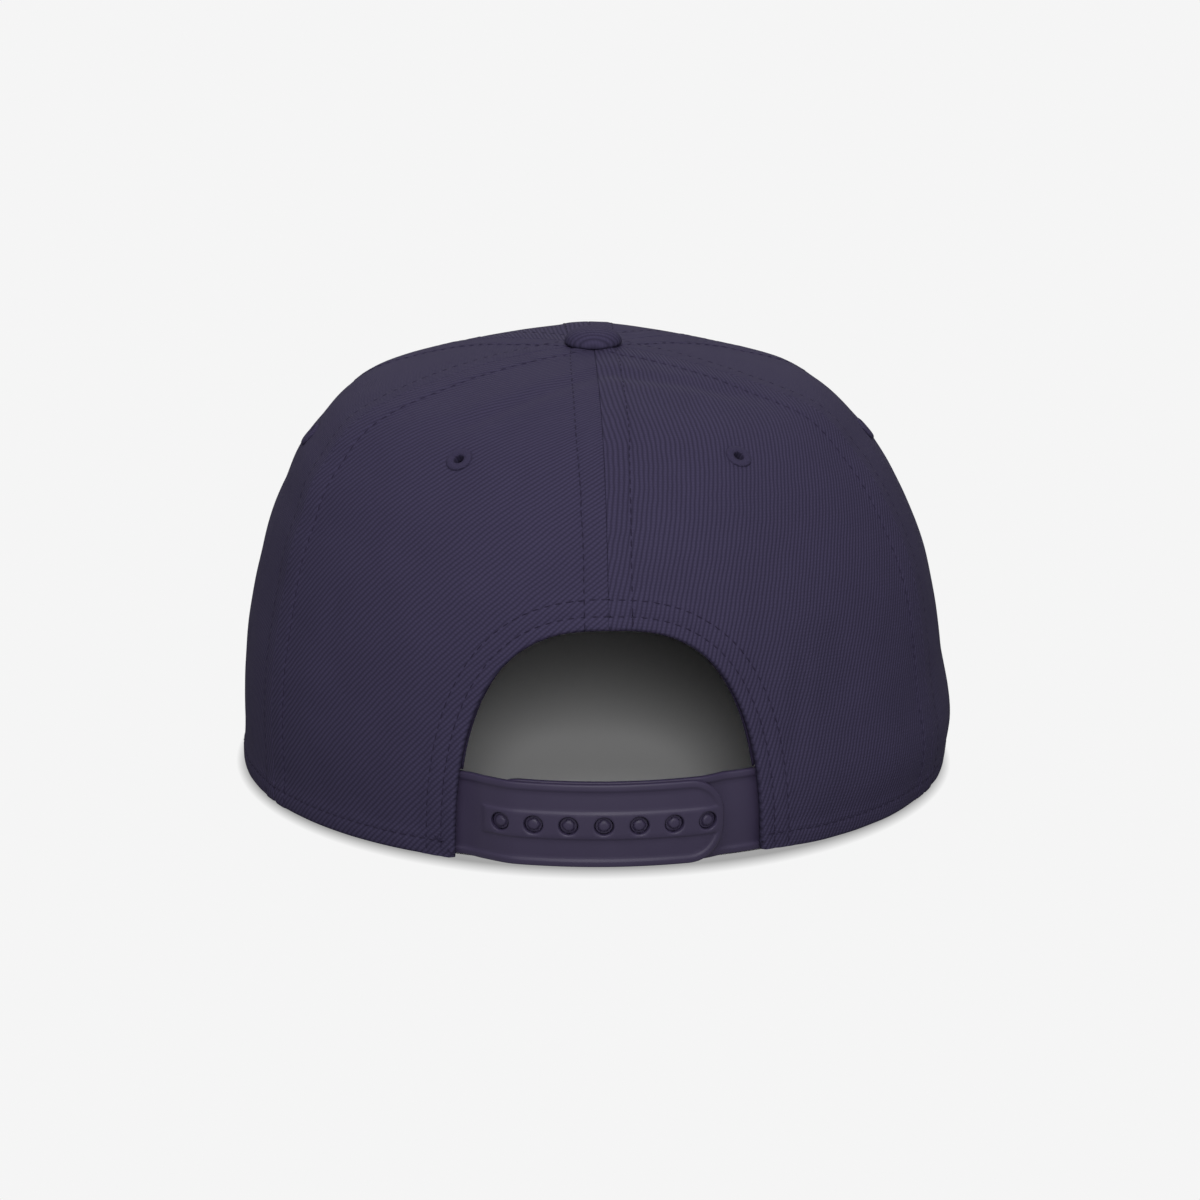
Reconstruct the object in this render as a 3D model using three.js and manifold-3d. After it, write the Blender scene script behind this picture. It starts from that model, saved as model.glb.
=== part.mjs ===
// Snapback cap in millimetres, +Z up, visor toward -Y, the arched back opening toward +Y.
// It rests on z = 0, and its origin is the middle of its bounding box, on that plane.
import * as THREE from "three";
import { mergeVertices } from "three/addons/utils/BufferGeometryUtils.js";
import Module from "manifold-3d";

const wasm = await Module();
wasm.setup();

// Driving dimensions of the crown
const crownHalfWidth = 86.8;
const crownBackReach = 92.6;
const crownFrontReach = 104;
const crownHeight = 102.6;
const clothThickness = 1.8;
const pieceClearance = 0.3;
const liningGap = 0.45;

// Exponents of the crown's profile from rim to top: 2 is an ellipse, more is boxier
const backFullness = 3;
const sideFullness = 2.95;
const frontFullness = 2.55;
const rimSquareness = 1.95;

// The rim turns in a little over this height
const rimTuckShare = 0.014;
const rimTuckHeight = 25;

// Seams lie at these turns from the back, in degrees, at the rim and at the top
const backSeam = { rim: 66, top: 72 };
const frontSeam = { rim: 118, top: 121 };
// Panels lie flatter between their seams toward the top, which makes the seams ridges
const goreStrength = 0.42;
const goreStart = 1.5;
const goreLevel = 0.94;
// The seams down the middle of the back and of the front are rounded over this turn to a soft crease
const middleSeamSoftness = 14;
const middleSeamCrease = 0.3;

// Fullness of the two sides by height, as shares added to the half width
const sideBulges = [
  { height: 0, left: 0.0045, right: 0.01 },
  { height: 0.11, left: -0.003, right: 0.022 },
  { height: 0.3, left: -0.005, right: -0.002 },
  { height: 0.48, left: -0.008, right: -0.003 },
  { height: 0.66, left: 0, right: -0.0105 },
  { height: 0.8, left: 0.033, right: 0 },
  { height: 0.9, left: 0.07, right: 0.021 },
  { height: 1, left: 0.01, right: -0.13 },
];

// Soft dents and folds: turn and spread in degrees, height, rise and depth as shares of the crown height
const dents = [
  { turn: -8, spread: 34, height: 0.9, rise: 0.045, depth: 0.012 },
  { turn: -43, spread: 8, height: 0.42, rise: 0.14, depth: 0.009 },
  { turn: -33, spread: 6, height: 0.44, rise: 0.14, depth: -0.005 },
  { turn: -72, spread: 13, height: 0.8, rise: 0.1, depth: 0.012 },
  { turn: 48, spread: 9, height: 0.42, rise: 0.2, depth: 0.006 },
  { turn: 150, spread: 16, height: 0.72, rise: 0.12, depth: 0.008 },
];

// The panels draw up toward the button, and the front ones rise in a soft crest in front of it
const apexPeak = { lift: 1.7, spread: 26 };
const frontCrest = { ahead: 24, width: 22, length: 20, lift: 1.9, start: 7, ease: 16 };

// The rim stands off the table a little at one corner of the back opening
const liftedCorner = { turn: -25, spread: 9, lift: 1.2 };

// Visor
const visorLength = 68;
const visorHalfWidth = 86;
const visorThickness = 3;
const visorArch = 8;
const visorTipSquareness = 2.5;
const visorWidestSetback = 43;
const visorFrontShare = 0.8;
const visorSpread = 62;
const visorSeat = 1;
const rimReturnTurn = 14;

// Top button and its shank through the point where the panels meet
const buttonRadius = 7;
const buttonHeight = 4.2;
const buttonEdge = 0.6;
const buttonRoundness = 0.8;
const buttonSteps = 6;
const shankRadius = 1.6;
const shankReach = 1;

// Eyelets: one on each panel, by turn in degrees and share of the crown height
const eyeletRadius = 3.25;
const eyeletHoleRadius = 1.2;
const eyeletSleeveRadius = 1.8;
const eyeletRaise = 0.8;
const eyeletPlaces = [
  { name: "back", turn: 33.8, height: 0.868 },
  { name: "side", turn: 92, height: 0.8 },
  { name: "front", turn: 150, height: 0.82 },
];

// Arched opening at the back, a superellipse standing on the rim
const archHalfWidth = 36.4;
const archHeight = 56.5;
const archFullness = 2.6;
const archTapeWidth = 11;
const archTapeThickness = 1;

// Sweatband inside the rim
const sweatbandHeight = 30;
const sweatbandThickness = 1.2;
const sweatbandSetback = 1;
const sweatbandEaseTurn = 7;

// Snap strap: two moulded bands that overlap, joined by studs in holes
const strapHeight = 20.4;
const strapFootGap = 0.5;
const strapThickness = 1.3;
const strapTuck = 12;
const strapBow = 2.4;
const strapBowReach = 33;
const strapBowEase = 12;
const strapTipRadius = 8.5;
const ridgeWidth = 1.5;
const ridgeRaise = 0.4;
const ridgeSlope = 0.4;
const plateauHeight = 6.4;
const snapCount = 7;
const snapPitch = 8;
const snapRowCentre = 1.3;
const snapEndMargin = 4.3;
const layerEase = 6;
const holeRadius = 2.2;
const studRadius = 1.25;
const studRaise = 0.5;

// Fineness of the faceted surfaces
const panelRows = 14;
const panelColumnTurn = 6.6;
const roundSides = 12;
const archSteps = 26;
const archTapeColumns = 2;
const visorColumns = 28;
const visorRows = 5;
const sweatbandColumns = 60;
const sweatbandRows = 3;
const strapColumnLength = 3.2;
const strapTipShares = [0.04, 0.12, 0.22, 0.35, 0.5, 0.7];
const strapRunSteps = 160;
const drillReach = 4;

const degrees = THREE.MathUtils.degToRad;
const quarter = Math.PI / 2;
const slopeStep = 0.01;
const upward = new THREE.Vector3(0, 0, 1);

// What fits together, worked out from the sizes above
const liningDepth = clothThickness + liningGap;
const strapStack = strapThickness + ridgeRaise;
const strapShift = (strapStack + pieceClearance) / 2;
const strapTop = strapFootGap + strapHeight;
const strapMiddle = strapFootGap + strapHeight / 2;
const snapRowHalf = ((snapCount - 1) * snapPitch) / 2;
const apexHoleRadius = shankRadius + pieceClearance;

function eased(share) {
  const held = THREE.MathUtils.clamp(share, 0, 1);
  return held * held * (3 - 2 * held);
}

function signedPower(value, power) {
  return Math.sign(value) * Math.abs(value) ** power;
}

function turnApart(turn, other) {
  const apart = turn - other;
  return Math.atan2(Math.sin(apart), Math.cos(apart));
}

function seamTurns(rise) {
  const toTop = (rise / quarter) ** 2;
  const back = THREE.MathUtils.lerp(backSeam.rim, backSeam.top, toTop);
  const front = THREE.MathUtils.lerp(frontSeam.rim, frontSeam.top, toTop);
  return [0, degrees(back), degrees(front), Math.PI];
}

// How far a panel's cross-section stands out at its seams and in at its middle, as a share
function goreShape(turn, rise) {
  const fromBack = Math.abs(turnApart(turn, 0));
  const seams = seamTurns(rise);
  const panel = fromBack < seams[1] ? 0 : fromBack < seams[2] ? 1 : 2;
  const half = (seams[panel + 1] - seams[panel]) / 2;
  const into = panel === 2 ? Math.PI - fromBack : fromBack - seams[panel];
  const softness = panel === 1 ? 0 : degrees(middleSeamSoftness);
  const soft = softness * (1 - (into / half / 2) ** 2);
  const softened = THREE.MathUtils.lerp(Math.hypot(into, soft), into, middleSeamCrease);
  return Math.cos(half) / Math.cos(softened - half) - goreLevel;
}

function sideBulge(side, heightShare) {
  const upper = sideBulges.findIndex((row) => row.height >= heightShare);
  if (upper < 1) return upper === 0 ? sideBulges[0][side] : sideBulges.at(-1)[side];
  const low = sideBulges[upper - 1];
  const high = sideBulges[upper];
  const share = eased((heightShare - low.height) / (high.height - low.height));
  return THREE.MathUtils.lerp(low[side], high[side], share);
}

function dentDepth(turn, heightShare) {
  let depth = 0;
  for (const dent of dents) {
    const across = turnApart(turn, degrees(dent.turn)) / degrees(dent.spread);
    const up = (heightShare - dent.height) / dent.rise;
    depth += dent.depth * crownHeight * Math.exp(-across * across - up * up);
  }
  return depth;
}

function fullnessAt(turn) {
  const endFullness = Math.cos(turn) > 0 ? backFullness : frontFullness;
  return sideFullness * Math.sin(turn) ** 2 + endFullness * Math.cos(turn) ** 2;
}

function topRaise(across, along) {
  const side = across / frontCrest.width;
  const ahead = (along + frontCrest.ahead) / frontCrest.length;
  const past = eased((-along - frontCrest.start) / frontCrest.ease);
  const crest = frontCrest.lift * Math.exp(-side * side - ahead * ahead) * past;
  const outward = Math.hypot(across, along) / apexPeak.spread;
  return crest + apexPeak.lift * Math.exp(-outward * outward);
}

// A point of the crown's outer face: turn from the back, rise from 0 at the rim to a quarter turn on top
function crownPoint(turn, rise) {
  const sine = Math.sin(turn);
  const cosine = Math.cos(turn);
  const fullness = fullnessAt(turn);
  const scale = (Math.cos(rise) ** fullness + Math.sin(rise) ** fullness) ** (-1 / fullness);
  const heightShare = Math.sin(rise) * scale;
  const height = heightShare * crownHeight;
  const tuck = Math.max(0, 1 - height / rimTuckHeight) ** 2 * rimTuckShare;
  const gore = goreStrength * heightShare ** goreStart * goreShape(turn, rise);
  const dent = dentDepth(turn, heightShare) / crownHalfWidth;
  const spread = Math.cos(rise) * scale * (1 - tuck) * (1 + gore) * (1 - dent);
  const corner = 2 / rimSquareness;
  const bulge = sideBulge(sine > 0 ? "left" : "right", heightShare);
  const reach = cosine > 0 ? crownBackReach : crownFrontReach;
  const across = crownHalfWidth * signedPower(sine, corner) * spread * (1 + bulge);
  const along = reach * signedPower(cosine, corner) * spread;
  return new THREE.Vector3(across, along, height + topRaise(across, along));
}

function crownNormal(turn, rise) {
  const low = Math.max(0, rise - slopeStep);
  const aside = crownPoint(turn + slopeStep, rise).sub(crownPoint(turn - slopeStep, rise));
  const upslope = crownPoint(turn, rise + slopeStep).sub(crownPoint(turn, low));
  return upslope.cross(aside).normalize();
}

function riseAtHeight(turn, height) {
  const fullness = fullnessAt(turn);
  const share = THREE.MathUtils.clamp(height / crownHeight, 0, 1);
  const spread = (1 - share ** fullness) ** (1 / fullness);
  return Math.atan2(share, spread);
}

// A point below the outer face by a depth, measured square to the cloth
function crownLayer(turn, rise, depth) {
  return crownPoint(turn, rise).addScaledVector(crownNormal(turn, rise), -depth);
}

// The same at a chosen height, for layers that end in level edges
function levelLayer(turn, height, depth) {
  const rise = riseAtHeight(turn, height);
  const normal = crownNormal(turn, rise);
  const level = Math.hypot(normal.x, normal.y);
  const inward = new THREE.Vector3(normal.x, normal.y, 0).multiplyScalar(-depth / level ** 2);
  const point = crownPoint(turn, rise).add(inward);
  point.z = height;
  return point;
}

function visorUnderside(across) {
  const share = THREE.MathUtils.clamp(Math.abs(across) / visorHalfWidth, 0, 1);
  return visorArch * (1 - share * share);
}

// Height of the crown's lower edge above the table
function rimHeight(turn) {
  const fromFront = Math.abs(turnApart(turn, Math.PI));
  const spread = degrees(visorSpread);
  const past = eased(1 - (fromFront - spread) / degrees(rimReturnTurn));
  const across = crownPoint(turn, 0).x * (1 - clothThickness / crownHalfWidth);
  const onVisor = (visorUnderside(across) + visorThickness + pieceClearance) * past;
  const fromCorner = turnApart(turn, degrees(liftedCorner.turn)) / degrees(liftedCorner.spread);
  return onVisor + liftedCorner.lift * Math.exp(-fromCorner * fromCorner);
}

// The turn at which the crown's outer face has a given place across, on the back half
function backTurnAt(across, height) {
  let turn = Math.asin(THREE.MathUtils.clamp(across / crownHalfWidth, -1, 1));
  for (let round = 0; round < 6; round += 1) {
    const reached = crownPoint(turn, riseAtHeight(turn, height)).x;
    const share = THREE.MathUtils.clamp(across - reached, -20, 20) / crownHalfWidth;
    turn += share / Math.max(0.3, Math.cos(turn));
  }
  return turn;
}

// A closed wall between two sheets of points, each given as a function of two shares from 0 to 1
function wallBetween(outside, inside, columns, rows) {
  const positions = [];
  for (const sheet of [outside, inside]) {
    for (let row = 0; row <= rows; row += 1) {
      for (let column = 0; column <= columns; column += 1) {
        positions.push(...sheet(column / columns, row / rows).toArray());
      }
    }
  }
  const sheetSize = (columns + 1) * (rows + 1);
  const at = (sheet, column, row) => sheet * sheetSize + row * (columns + 1) + column;
  const indices = [];
  const quad = (a, b, c, d) => indices.push(a, b, c, a, c, d);
  for (let row = 0; row < rows; row += 1) {
    for (let column = 0; column < columns; column += 1) {
      quad(at(0, column, row), at(0, column + 1, row), at(0, column + 1, row + 1), at(0, column, row + 1));
      quad(at(1, column, row), at(1, column, row + 1), at(1, column + 1, row + 1), at(1, column + 1, row));
    }
  }
  for (let column = 0; column < columns; column += 1) {
    quad(at(0, column + 1, 0), at(0, column, 0), at(1, column, 0), at(1, column + 1, 0));
    quad(at(0, column, rows), at(0, column + 1, rows), at(1, column + 1, rows), at(1, column, rows));
  }
  for (let row = 0; row < rows; row += 1) {
    quad(at(0, 0, row), at(0, 0, row + 1), at(1, 0, row + 1), at(1, 0, row));
    quad(at(0, columns, row + 1), at(0, columns, row), at(1, columns, row), at(1, columns, row + 1));
  }
  const geometry = new THREE.BufferGeometry();
  geometry.setAttribute("position", new THREE.Float32BufferAttribute(positions, 3));
  geometry.setIndex(indices);
  return geometry;
}

function toSolid(geometry) {
  const bare = geometry.clone();
  bare.deleteAttribute("normal");
  bare.deleteAttribute("uv");
  const merged = mergeVertices(bare, 1e-4);
  const vertProperties = Float32Array.from(merged.attributes.position.array);
  const triVerts = Uint32Array.from(merged.index.array);
  return new wasm.Manifold(new wasm.Mesh({ numProp: 3, vertProperties, triVerts }));
}

function toGeometry(solid) {
  const mesh = solid.getMesh();
  const geometry = new THREE.BufferGeometry();
  geometry.setAttribute("position", new THREE.BufferAttribute(mesh.vertProperties, 3));
  geometry.setIndex(new THREE.BufferAttribute(mesh.triVerts, 1));
  return geometry;
}

// Turns a shape made along +Z so that it stands on a point, along a direction
function standing(geometry, point, direction) {
  const turned = new THREE.Quaternion().setFromUnitVectors(upward, direction);
  return geometry.applyQuaternion(turned).translate(point.x, point.y, point.z);
}

function piece(name, geometry, colour, roughness) {
  const material = new THREE.MeshStandardMaterial({ color: colour, roughness, metalness: 0 });
  const mesh = new THREE.Mesh(geometry, material);
  mesh.name = name;
  return mesh;
}

// Half-width of the arched opening at a height
function archEdge(height) {
  const share = THREE.MathUtils.clamp(height / archHeight, 0, 1);
  return archHalfWidth * (1 - share ** archFullness) ** (1 / archFullness);
}

// A point of the opening's edge, by angle from the left leg's foot over the top to the right one's
function archPoint(angle) {
  const power = 2 / archFullness;
  return {
    x: archHalfWidth * signedPower(Math.cos(angle), power),
    z: archHeight * Math.abs(Math.sin(angle)) ** power,
  };
}

function archCutter() {
  const shape = new THREE.Shape();
  shape.moveTo(archHalfWidth, -archHeight);
  for (let step = 0; step <= archSteps; step += 1) {
    const { x, z } = archPoint((Math.PI * step) / archSteps);
    shape.lineTo(x, z);
  }
  shape.lineTo(-archHalfWidth, -archHeight);
  const depth = crownBackReach * 2;
  const block = new THREE.ExtrudeGeometry(shape, { depth, bevelEnabled: false });
  return toSolid(block.rotateX(quarter).translate(0, depth, 0));
}

function eyeletPlace(side, eyelet) {
  const turn = side * degrees(eyelet.turn);
  const rise = riseAtHeight(turn, eyelet.height * crownHeight);
  return { point: crownPoint(turn, rise), normal: crownNormal(turn, rise) };
}

function eyeletCutter({ point, normal }) {
  const radius = eyeletSleeveRadius + pieceClearance;
  const drill = new THREE.CylinderGeometry(radius, radius, clothThickness * drillReach, roundSides);
  return toSolid(standing(drill.rotateX(quarter), point, normal));
}

// Place on a panel: across from its back seam to its front seam, and up from the rim to the shank's hole
function panelPlace(side, seamIndex, across, up) {
  let rise = up * quarter;
  let turn = 0;
  for (let round = 0; round < 4; round += 1) {
    const [from, to] = seamTurns(rise).slice(seamIndex, seamIndex + 2);
    const halfGap = (seam) => pieceClearance / 2 / crownPoint(side * seam, rise).setZ(0).length();
    turn = side * THREE.MathUtils.lerp(from + halfGap(from), to - halfGap(to), across);
    const rimRise = riseAtHeight(turn, rimHeight(turn));
    const topRise = Math.acos(apexHoleRadius / crownPoint(turn, 0).setZ(0).length());
    rise = THREE.MathUtils.lerp(rimRise, topRise, up);
  }
  return { turn, rise };
}

// One crown panel from seam to seam, its eyelet hole cut, and the arch cut where it is at the back
function crownPanel(side, seamIndex, eyelet, opening) {
  const seams = seamTurns(0);
  const columns = Math.round((seams[seamIndex + 1] - seams[seamIndex]) / degrees(panelColumnTurn));
  const placeAt = (along, up) => panelPlace(side, seamIndex, side > 0 ? 1 - along : along, up);
  const outside = (along, up) => {
    const { turn, rise } = placeAt(along, up);
    return crownPoint(turn, rise);
  };
  const inside = (along, up) => {
    const { turn, rise } = placeAt(along, up);
    if (up === 0) return levelLayer(turn, rimHeight(turn), clothThickness);
    return crownLayer(turn, rise, clothThickness);
  };
  const sheet = toSolid(wallBetween(outside, inside, columns, panelRows));
  const drilled = sheet.subtract(eyeletCutter(eyeletPlace(side, eyelet)));
  return toGeometry(opening ? drilled.subtract(opening) : drilled);
}

// A sewn ring with a short sleeve through the cloth
function eyeletRing() {
  const rounding = eyeletRaise / 3;
  const shoulder = eyeletRaise - rounding / 2;
  const profile = [
    new THREE.Vector2(eyeletHoleRadius, -clothThickness),
    new THREE.Vector2(eyeletSleeveRadius, -clothThickness),
    new THREE.Vector2(eyeletSleeveRadius, pieceClearance),
    new THREE.Vector2(eyeletRadius, pieceClearance),
    new THREE.Vector2(eyeletRadius - rounding, shoulder),
    new THREE.Vector2((eyeletRadius + eyeletHoleRadius) / 2, eyeletRaise),
    new THREE.Vector2(eyeletHoleRadius + rounding, shoulder),
    new THREE.Vector2(eyeletHoleRadius, -clothThickness),
  ];
  return new THREE.LatheGeometry(profile, roundSides).rotateX(quarter);
}

// A covered dome, flat underneath, with its shank down through the crown
function topButton() {
  const shankEnd = -clothThickness - shankReach;
  const profile = [
    new THREE.Vector2(0, shankEnd),
    new THREE.Vector2(shankRadius, shankEnd),
    new THREE.Vector2(shankRadius, pieceClearance),
    new THREE.Vector2(buttonRadius - buttonEdge, pieceClearance),
  ];
  for (let step = 0; step < buttonSteps; step += 1) {
    const angle = (quarter * step) / buttonSteps;
    const height = THREE.MathUtils.lerp(buttonEdge, buttonHeight, Math.sin(angle));
    const radius = buttonRadius * Math.cos(angle) ** buttonRoundness;
    profile.push(new THREE.Vector2(radius, pieceClearance + height));
  }
  profile.push(new THREE.Vector2(0, pieceClearance + buttonHeight));
  return new THREE.LatheGeometry(profile, roundSides * 2).rotateX(quarter);
}

// The visor's outer edge in plan: a superellipse in front of its widest place, and a curve back to the crown
function visorOutline(share) {
  const side = Math.sign(share);
  const along = Math.abs(share);
  const corner = crownPoint(Math.PI - side * degrees(visorSpread), 0);
  const tip = crownPoint(Math.PI, 0).y - visorLength;
  const widest = corner.y - visorWidestSetback;
  if (along <= visorFrontShare) {
    const angle = (quarter * along) / visorFrontShare;
    const power = 2 / visorTipSquareness;
    const across = side * visorHalfWidth * Math.sin(angle) ** power;
    return new THREE.Vector2(across, THREE.MathUtils.lerp(widest, tip, Math.cos(angle) ** power));
  }
  const back = (along - visorFrontShare) / (1 - visorFrontShare);
  const across = THREE.MathUtils.lerp(side * visorHalfWidth, corner.x, back * back);
  return new THREE.Vector2(across, THREE.MathUtils.lerp(widest, corner.y, back));
}

// A stiff sheet from under the crown's front rim out to the visor's edge
function visorSheet() {
  const face = (raise) => (across, out) => {
    const share = 1 - 2 * across;
    const turn = Math.PI - share * degrees(visorSpread);
    const inner = levelLayer(turn, rimHeight(turn), clothThickness + visorSeat);
    const edge = visorOutline(share);
    const x = THREE.MathUtils.lerp(inner.x, edge.x, out);
    const y = THREE.MathUtils.lerp(inner.y, edge.y, out);
    return new THREE.Vector3(x, y, visorUnderside(x) + raise);
  };
  return wallBetween(face(visorThickness), face(0), visorColumns, visorRows);
}

// Depth of the sweatband's outer face: behind the wall, and further in behind the strap's ends
function sweatbandDepth(turn) {
  const fromBack = Math.abs(turnApart(turn, 0));
  const tuckTurn = backTurnAt(archHalfWidth, 0) + strapTuck / crownHalfWidth;
  const behindStrap = eased(1 - (fromBack - tuckTurn) / degrees(sweatbandEaseTurn));
  return liningDepth + behindStrap * (strapStack + pieceClearance);
}

function sweatband() {
  const start = backTurnAt(archHalfWidth + sweatbandSetback, 0);
  const face = (extra) => (along, up) => {
    const turn = THREE.MathUtils.lerp(start, Math.PI * 2 - start, along);
    const height = rimHeight(turn) + sweatbandSetback + up * sweatbandHeight;
    return levelLayer(turn, height, sweatbandDepth(turn) + extra);
  };
  return wallBetween(face(sweatbandThickness), face(0), sweatbandColumns, sweatbandRows);
}

// The binding tape inside the arch, from just above the strap on one leg to the same place on the other
function archTape() {
  const legHeight = strapTop + pieceClearance * 2;
  const legAngle = Math.asin(Math.min(1, legHeight / archHeight) ** (archFullness / 2));
  const face = (extra) => (out, along) => {
    const { x, z } = archPoint(THREE.MathUtils.lerp(legAngle, Math.PI - legAngle, along));
    const normalX = signedPower(x / archHalfWidth, archFullness - 1) / archHalfWidth;
    const normalZ = (z / archHeight) ** (archFullness - 1) / archHeight;
    const reach = (out * archTapeWidth) / Math.hypot(normalX, normalZ);
    const height = z + normalZ * reach;
    return levelLayer(backTurnAt(x + normalX * reach, height), height, liningDepth + extra);
  };
  return wallBetween(face(archTapeThickness), face(0), archTapeColumns, archSteps);
}

// Distances along the back from its middle, one for each small step of turn to a side
const strapStep = degrees(0.5);

function strapRuns(side) {
  const runs = [0];
  for (let step = 1; step <= strapRunSteps; step += 1) {
    const here = levelLayer(side * (step - 1) * strapStep, strapMiddle, liningDepth);
    const next = levelLayer(side * step * strapStep, strapMiddle, liningDepth);
    runs.push(runs[step - 1] + here.distanceTo(next));
  }
  return runs;
}

const runsBySide = { left: strapRuns(1), right: strapRuns(-1) };

function turnAtDistance(distance) {
  const runs = distance > 0 ? runsBySide.left : runsBySide.right;
  const far = Math.abs(distance);
  const step = runs.findIndex((run) => run >= far);
  const share = step > 0 ? (far - runs[step - 1]) / (runs[step] - runs[step - 1]) : 0;
  return Math.sign(distance) * Math.max(0, step - 1 + share) * strapStep;
}

// Where a leg of the arch crosses the middle of the strap, as a distance from the middle
function legDistance(side) {
  const turn = backTurnAt(side * archEdge(strapMiddle), strapMiddle);
  const runs = side > 0 ? runsBySide.left : runsBySide.right;
  return runs[Math.round(Math.abs(turn) / strapStep)];
}

// Each band runs from behind its own leg, past all the snaps, to a rounded tip
function strapEnds(side) {
  const root = legDistance(side) + strapTuck;
  const tip = side * snapRowCentre - snapRowHalf - snapEndMargin;
  return { root, tip };
}

// Where the two bands lie on each other, each gives way by half of their stack
function overlapShare(side, distance) {
  const otherTip = -strapEnds(-side).tip;
  return eased((otherTip + layerEase - distance) / layerEase);
}

// How far the strap's middle stands out between the legs of the arch
function bowAt(distance) {
  return strapBow * eased((strapBowReach - Math.abs(distance)) / strapBowEase);
}

function strapStations({ root, tip }) {
  const full = tip + strapTipRadius;
  const stations = strapTipShares.map((share) => tip + strapTipRadius * share);
  const steps = Math.ceil((root - full) / strapColumnLength);
  for (let step = 0; step <= steps; step += 1) {
    stations.push(THREE.MathUtils.lerp(full, root, step / steps));
  }
  return stations;
}

// The face of a band across its height: border ridges at both edges, a raised bar between two grooves
function strapFace(distance, tip, plateau) {
  const intoTip = Math.max(0, strapTipRadius - (distance - tip));
  const cut = strapTipRadius - Math.sqrt(Math.max(0, strapTipRadius ** 2 - intoTip ** 2));
  const low = strapFootGap + cut;
  const high = strapTop - cut;
  const inner = ridgeWidth + ridgeSlope;
  const barHalf = Math.min(plateauHeight / 2, (high - low) / 2 - inner - ridgeSlope * 2);
  const bar = plateau ? ridgeRaise : 0;
  const nearTip = distance - tip < ridgeWidth;
  const groove = nearTip ? ridgeRaise : 0;
  return [
    { height: low, raise: ridgeRaise },
    { height: low + ridgeWidth, raise: ridgeRaise },
    { height: low + inner, raise: groove },
    { height: strapMiddle - barHalf - ridgeSlope, raise: groove },
    { height: strapMiddle - barHalf, raise: Math.max(bar, groove) },
    { height: strapMiddle + barHalf, raise: Math.max(bar, groove) },
    { height: strapMiddle + barHalf + ridgeSlope, raise: groove },
    { height: high - inner, raise: groove },
    { height: high - ridgeWidth, raise: ridgeRaise },
    { height: high, raise: ridgeRaise },
  ];
}

// A moulded band on the side of its own leg: side 1 lies outside, side -1 lies inside
function strapBand(side) {
  const ends = strapEnds(side);
  const stations = strapStations(ends);
  const rows = strapFace(ends.root, ends.tip, false).length - 1;
  const columns = stations.length - 1;
  const barStart = ends.tip + ridgeWidth + ridgeSlope;
  const barEnd = side * snapRowCentre + snapRowHalf + snapEndMargin;
  const point = (along, up, base) => {
    const distance = stations[Math.round((side > 0 ? 1 - along : along) * columns)];
    const plateau = distance > barStart && distance < barEnd;
    const { height, raise } = strapFace(distance, ends.tip, plateau)[Math.round(up * rows)];
    const shift = -side * strapShift * overlapShare(side, distance);
    const middle = liningDepth + ridgeRaise + shift - bowAt(distance);
    const depth = middle + (base ? strapThickness : -raise);
    return levelLayer(turnAtDistance(side * distance), height, depth);
  };
  const front = (along, up) => point(along, up, false);
  const back = (along, up) => point(along, up, true);
  return toSolid(wallBetween(front, back, columns, rows));
}

// The snaps' places: a point on the crown's own surface, bowed as the strap is, and the way out
function snapPlaces() {
  const places = [];
  for (let snap = 0; snap < snapCount; snap += 1) {
    const distance = snapRowCentre - snapRowHalf + snap * snapPitch;
    const turn = turnAtDistance(distance);
    const point = levelLayer(turn, strapMiddle, -bowAt(distance));
    const outward = point.clone().sub(levelLayer(turn, strapMiddle, 1)).normalize();
    places.push({ point, outward });
  }
  return places;
}

function strapOuter() {
  let band = strapBand(1);
  for (const { point, outward } of snapPlaces()) {
    const drill = new THREE.CylinderGeometry(holeRadius, holeRadius, strapStack * drillReach * 2, roundSides);
    band = band.subtract(toSolid(standing(drill.rotateX(quarter), point, outward)));
  }
  return toGeometry(band);
}

// A stud with a domed head, from inside the inner band out past the face of the outer one
function studGeometry() {
  const foot = -(liningDepth + strapShift + ridgeRaise + strapThickness / 2);
  const head = -(liningDepth - strapShift) + studRaise;
  const neck = head - studRadius / 2;
  const profile = [
    new THREE.Vector2(0, foot),
    new THREE.Vector2(studRadius, foot),
    new THREE.Vector2(studRadius, neck),
    new THREE.Vector2(studRadius * 0.8, neck + studRadius * 0.33),
    new THREE.Vector2(0, head),
  ];
  return new THREE.LatheGeometry(profile, roundSides).rotateX(quarter);
}

function strapInner() {
  let band = strapBand(-1);
  for (const { point, outward } of snapPlaces()) {
    band = band.add(toSolid(standing(studGeometry(), point, outward)));
  }
  return toGeometry(band);
}

// The whole cap, first about the middle of the crown
const crown = new THREE.Group();
const opening = archCutter();
for (const [sideName, side] of [["left", 1], ["right", -1]]) {
  eyeletPlaces.forEach((eyelet, seamIndex) => {
    const cut = eyelet.name === "back" ? opening : null;
    const panel = crownPanel(side, seamIndex, eyelet, cut);
    crown.add(piece(`${eyelet.name}_${sideName}_panel`, panel, "#3e394f", 0.9));
    const { point, normal } = eyeletPlace(side, eyelet);
    const ring = piece(`eyelet_${eyelet.name}_${sideName}`, eyeletRing(), "#454057", 0.75);
    ring.position.copy(point);
    ring.quaternion.setFromUnitVectors(upward, normal);
    crown.add(ring);
  });
}
const button = piece("top_button", topButton(), "#423d54", 0.85);
button.position.z = crownHeight + apexPeak.lift;
crown.add(button);
crown.add(piece("visor", visorSheet(), "#3e394f", 0.9));
crown.add(piece("sweatband", sweatband(), "#35303f", 0.85));
crown.add(piece("arch_tape", archTape(), "#35303f", 0.8));
crown.add(piece("strap_outer", strapOuter(), "#3a354c", 0.45));
crown.add(piece("strap_inner", strapInner(), "#3a354c", 0.45));

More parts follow.
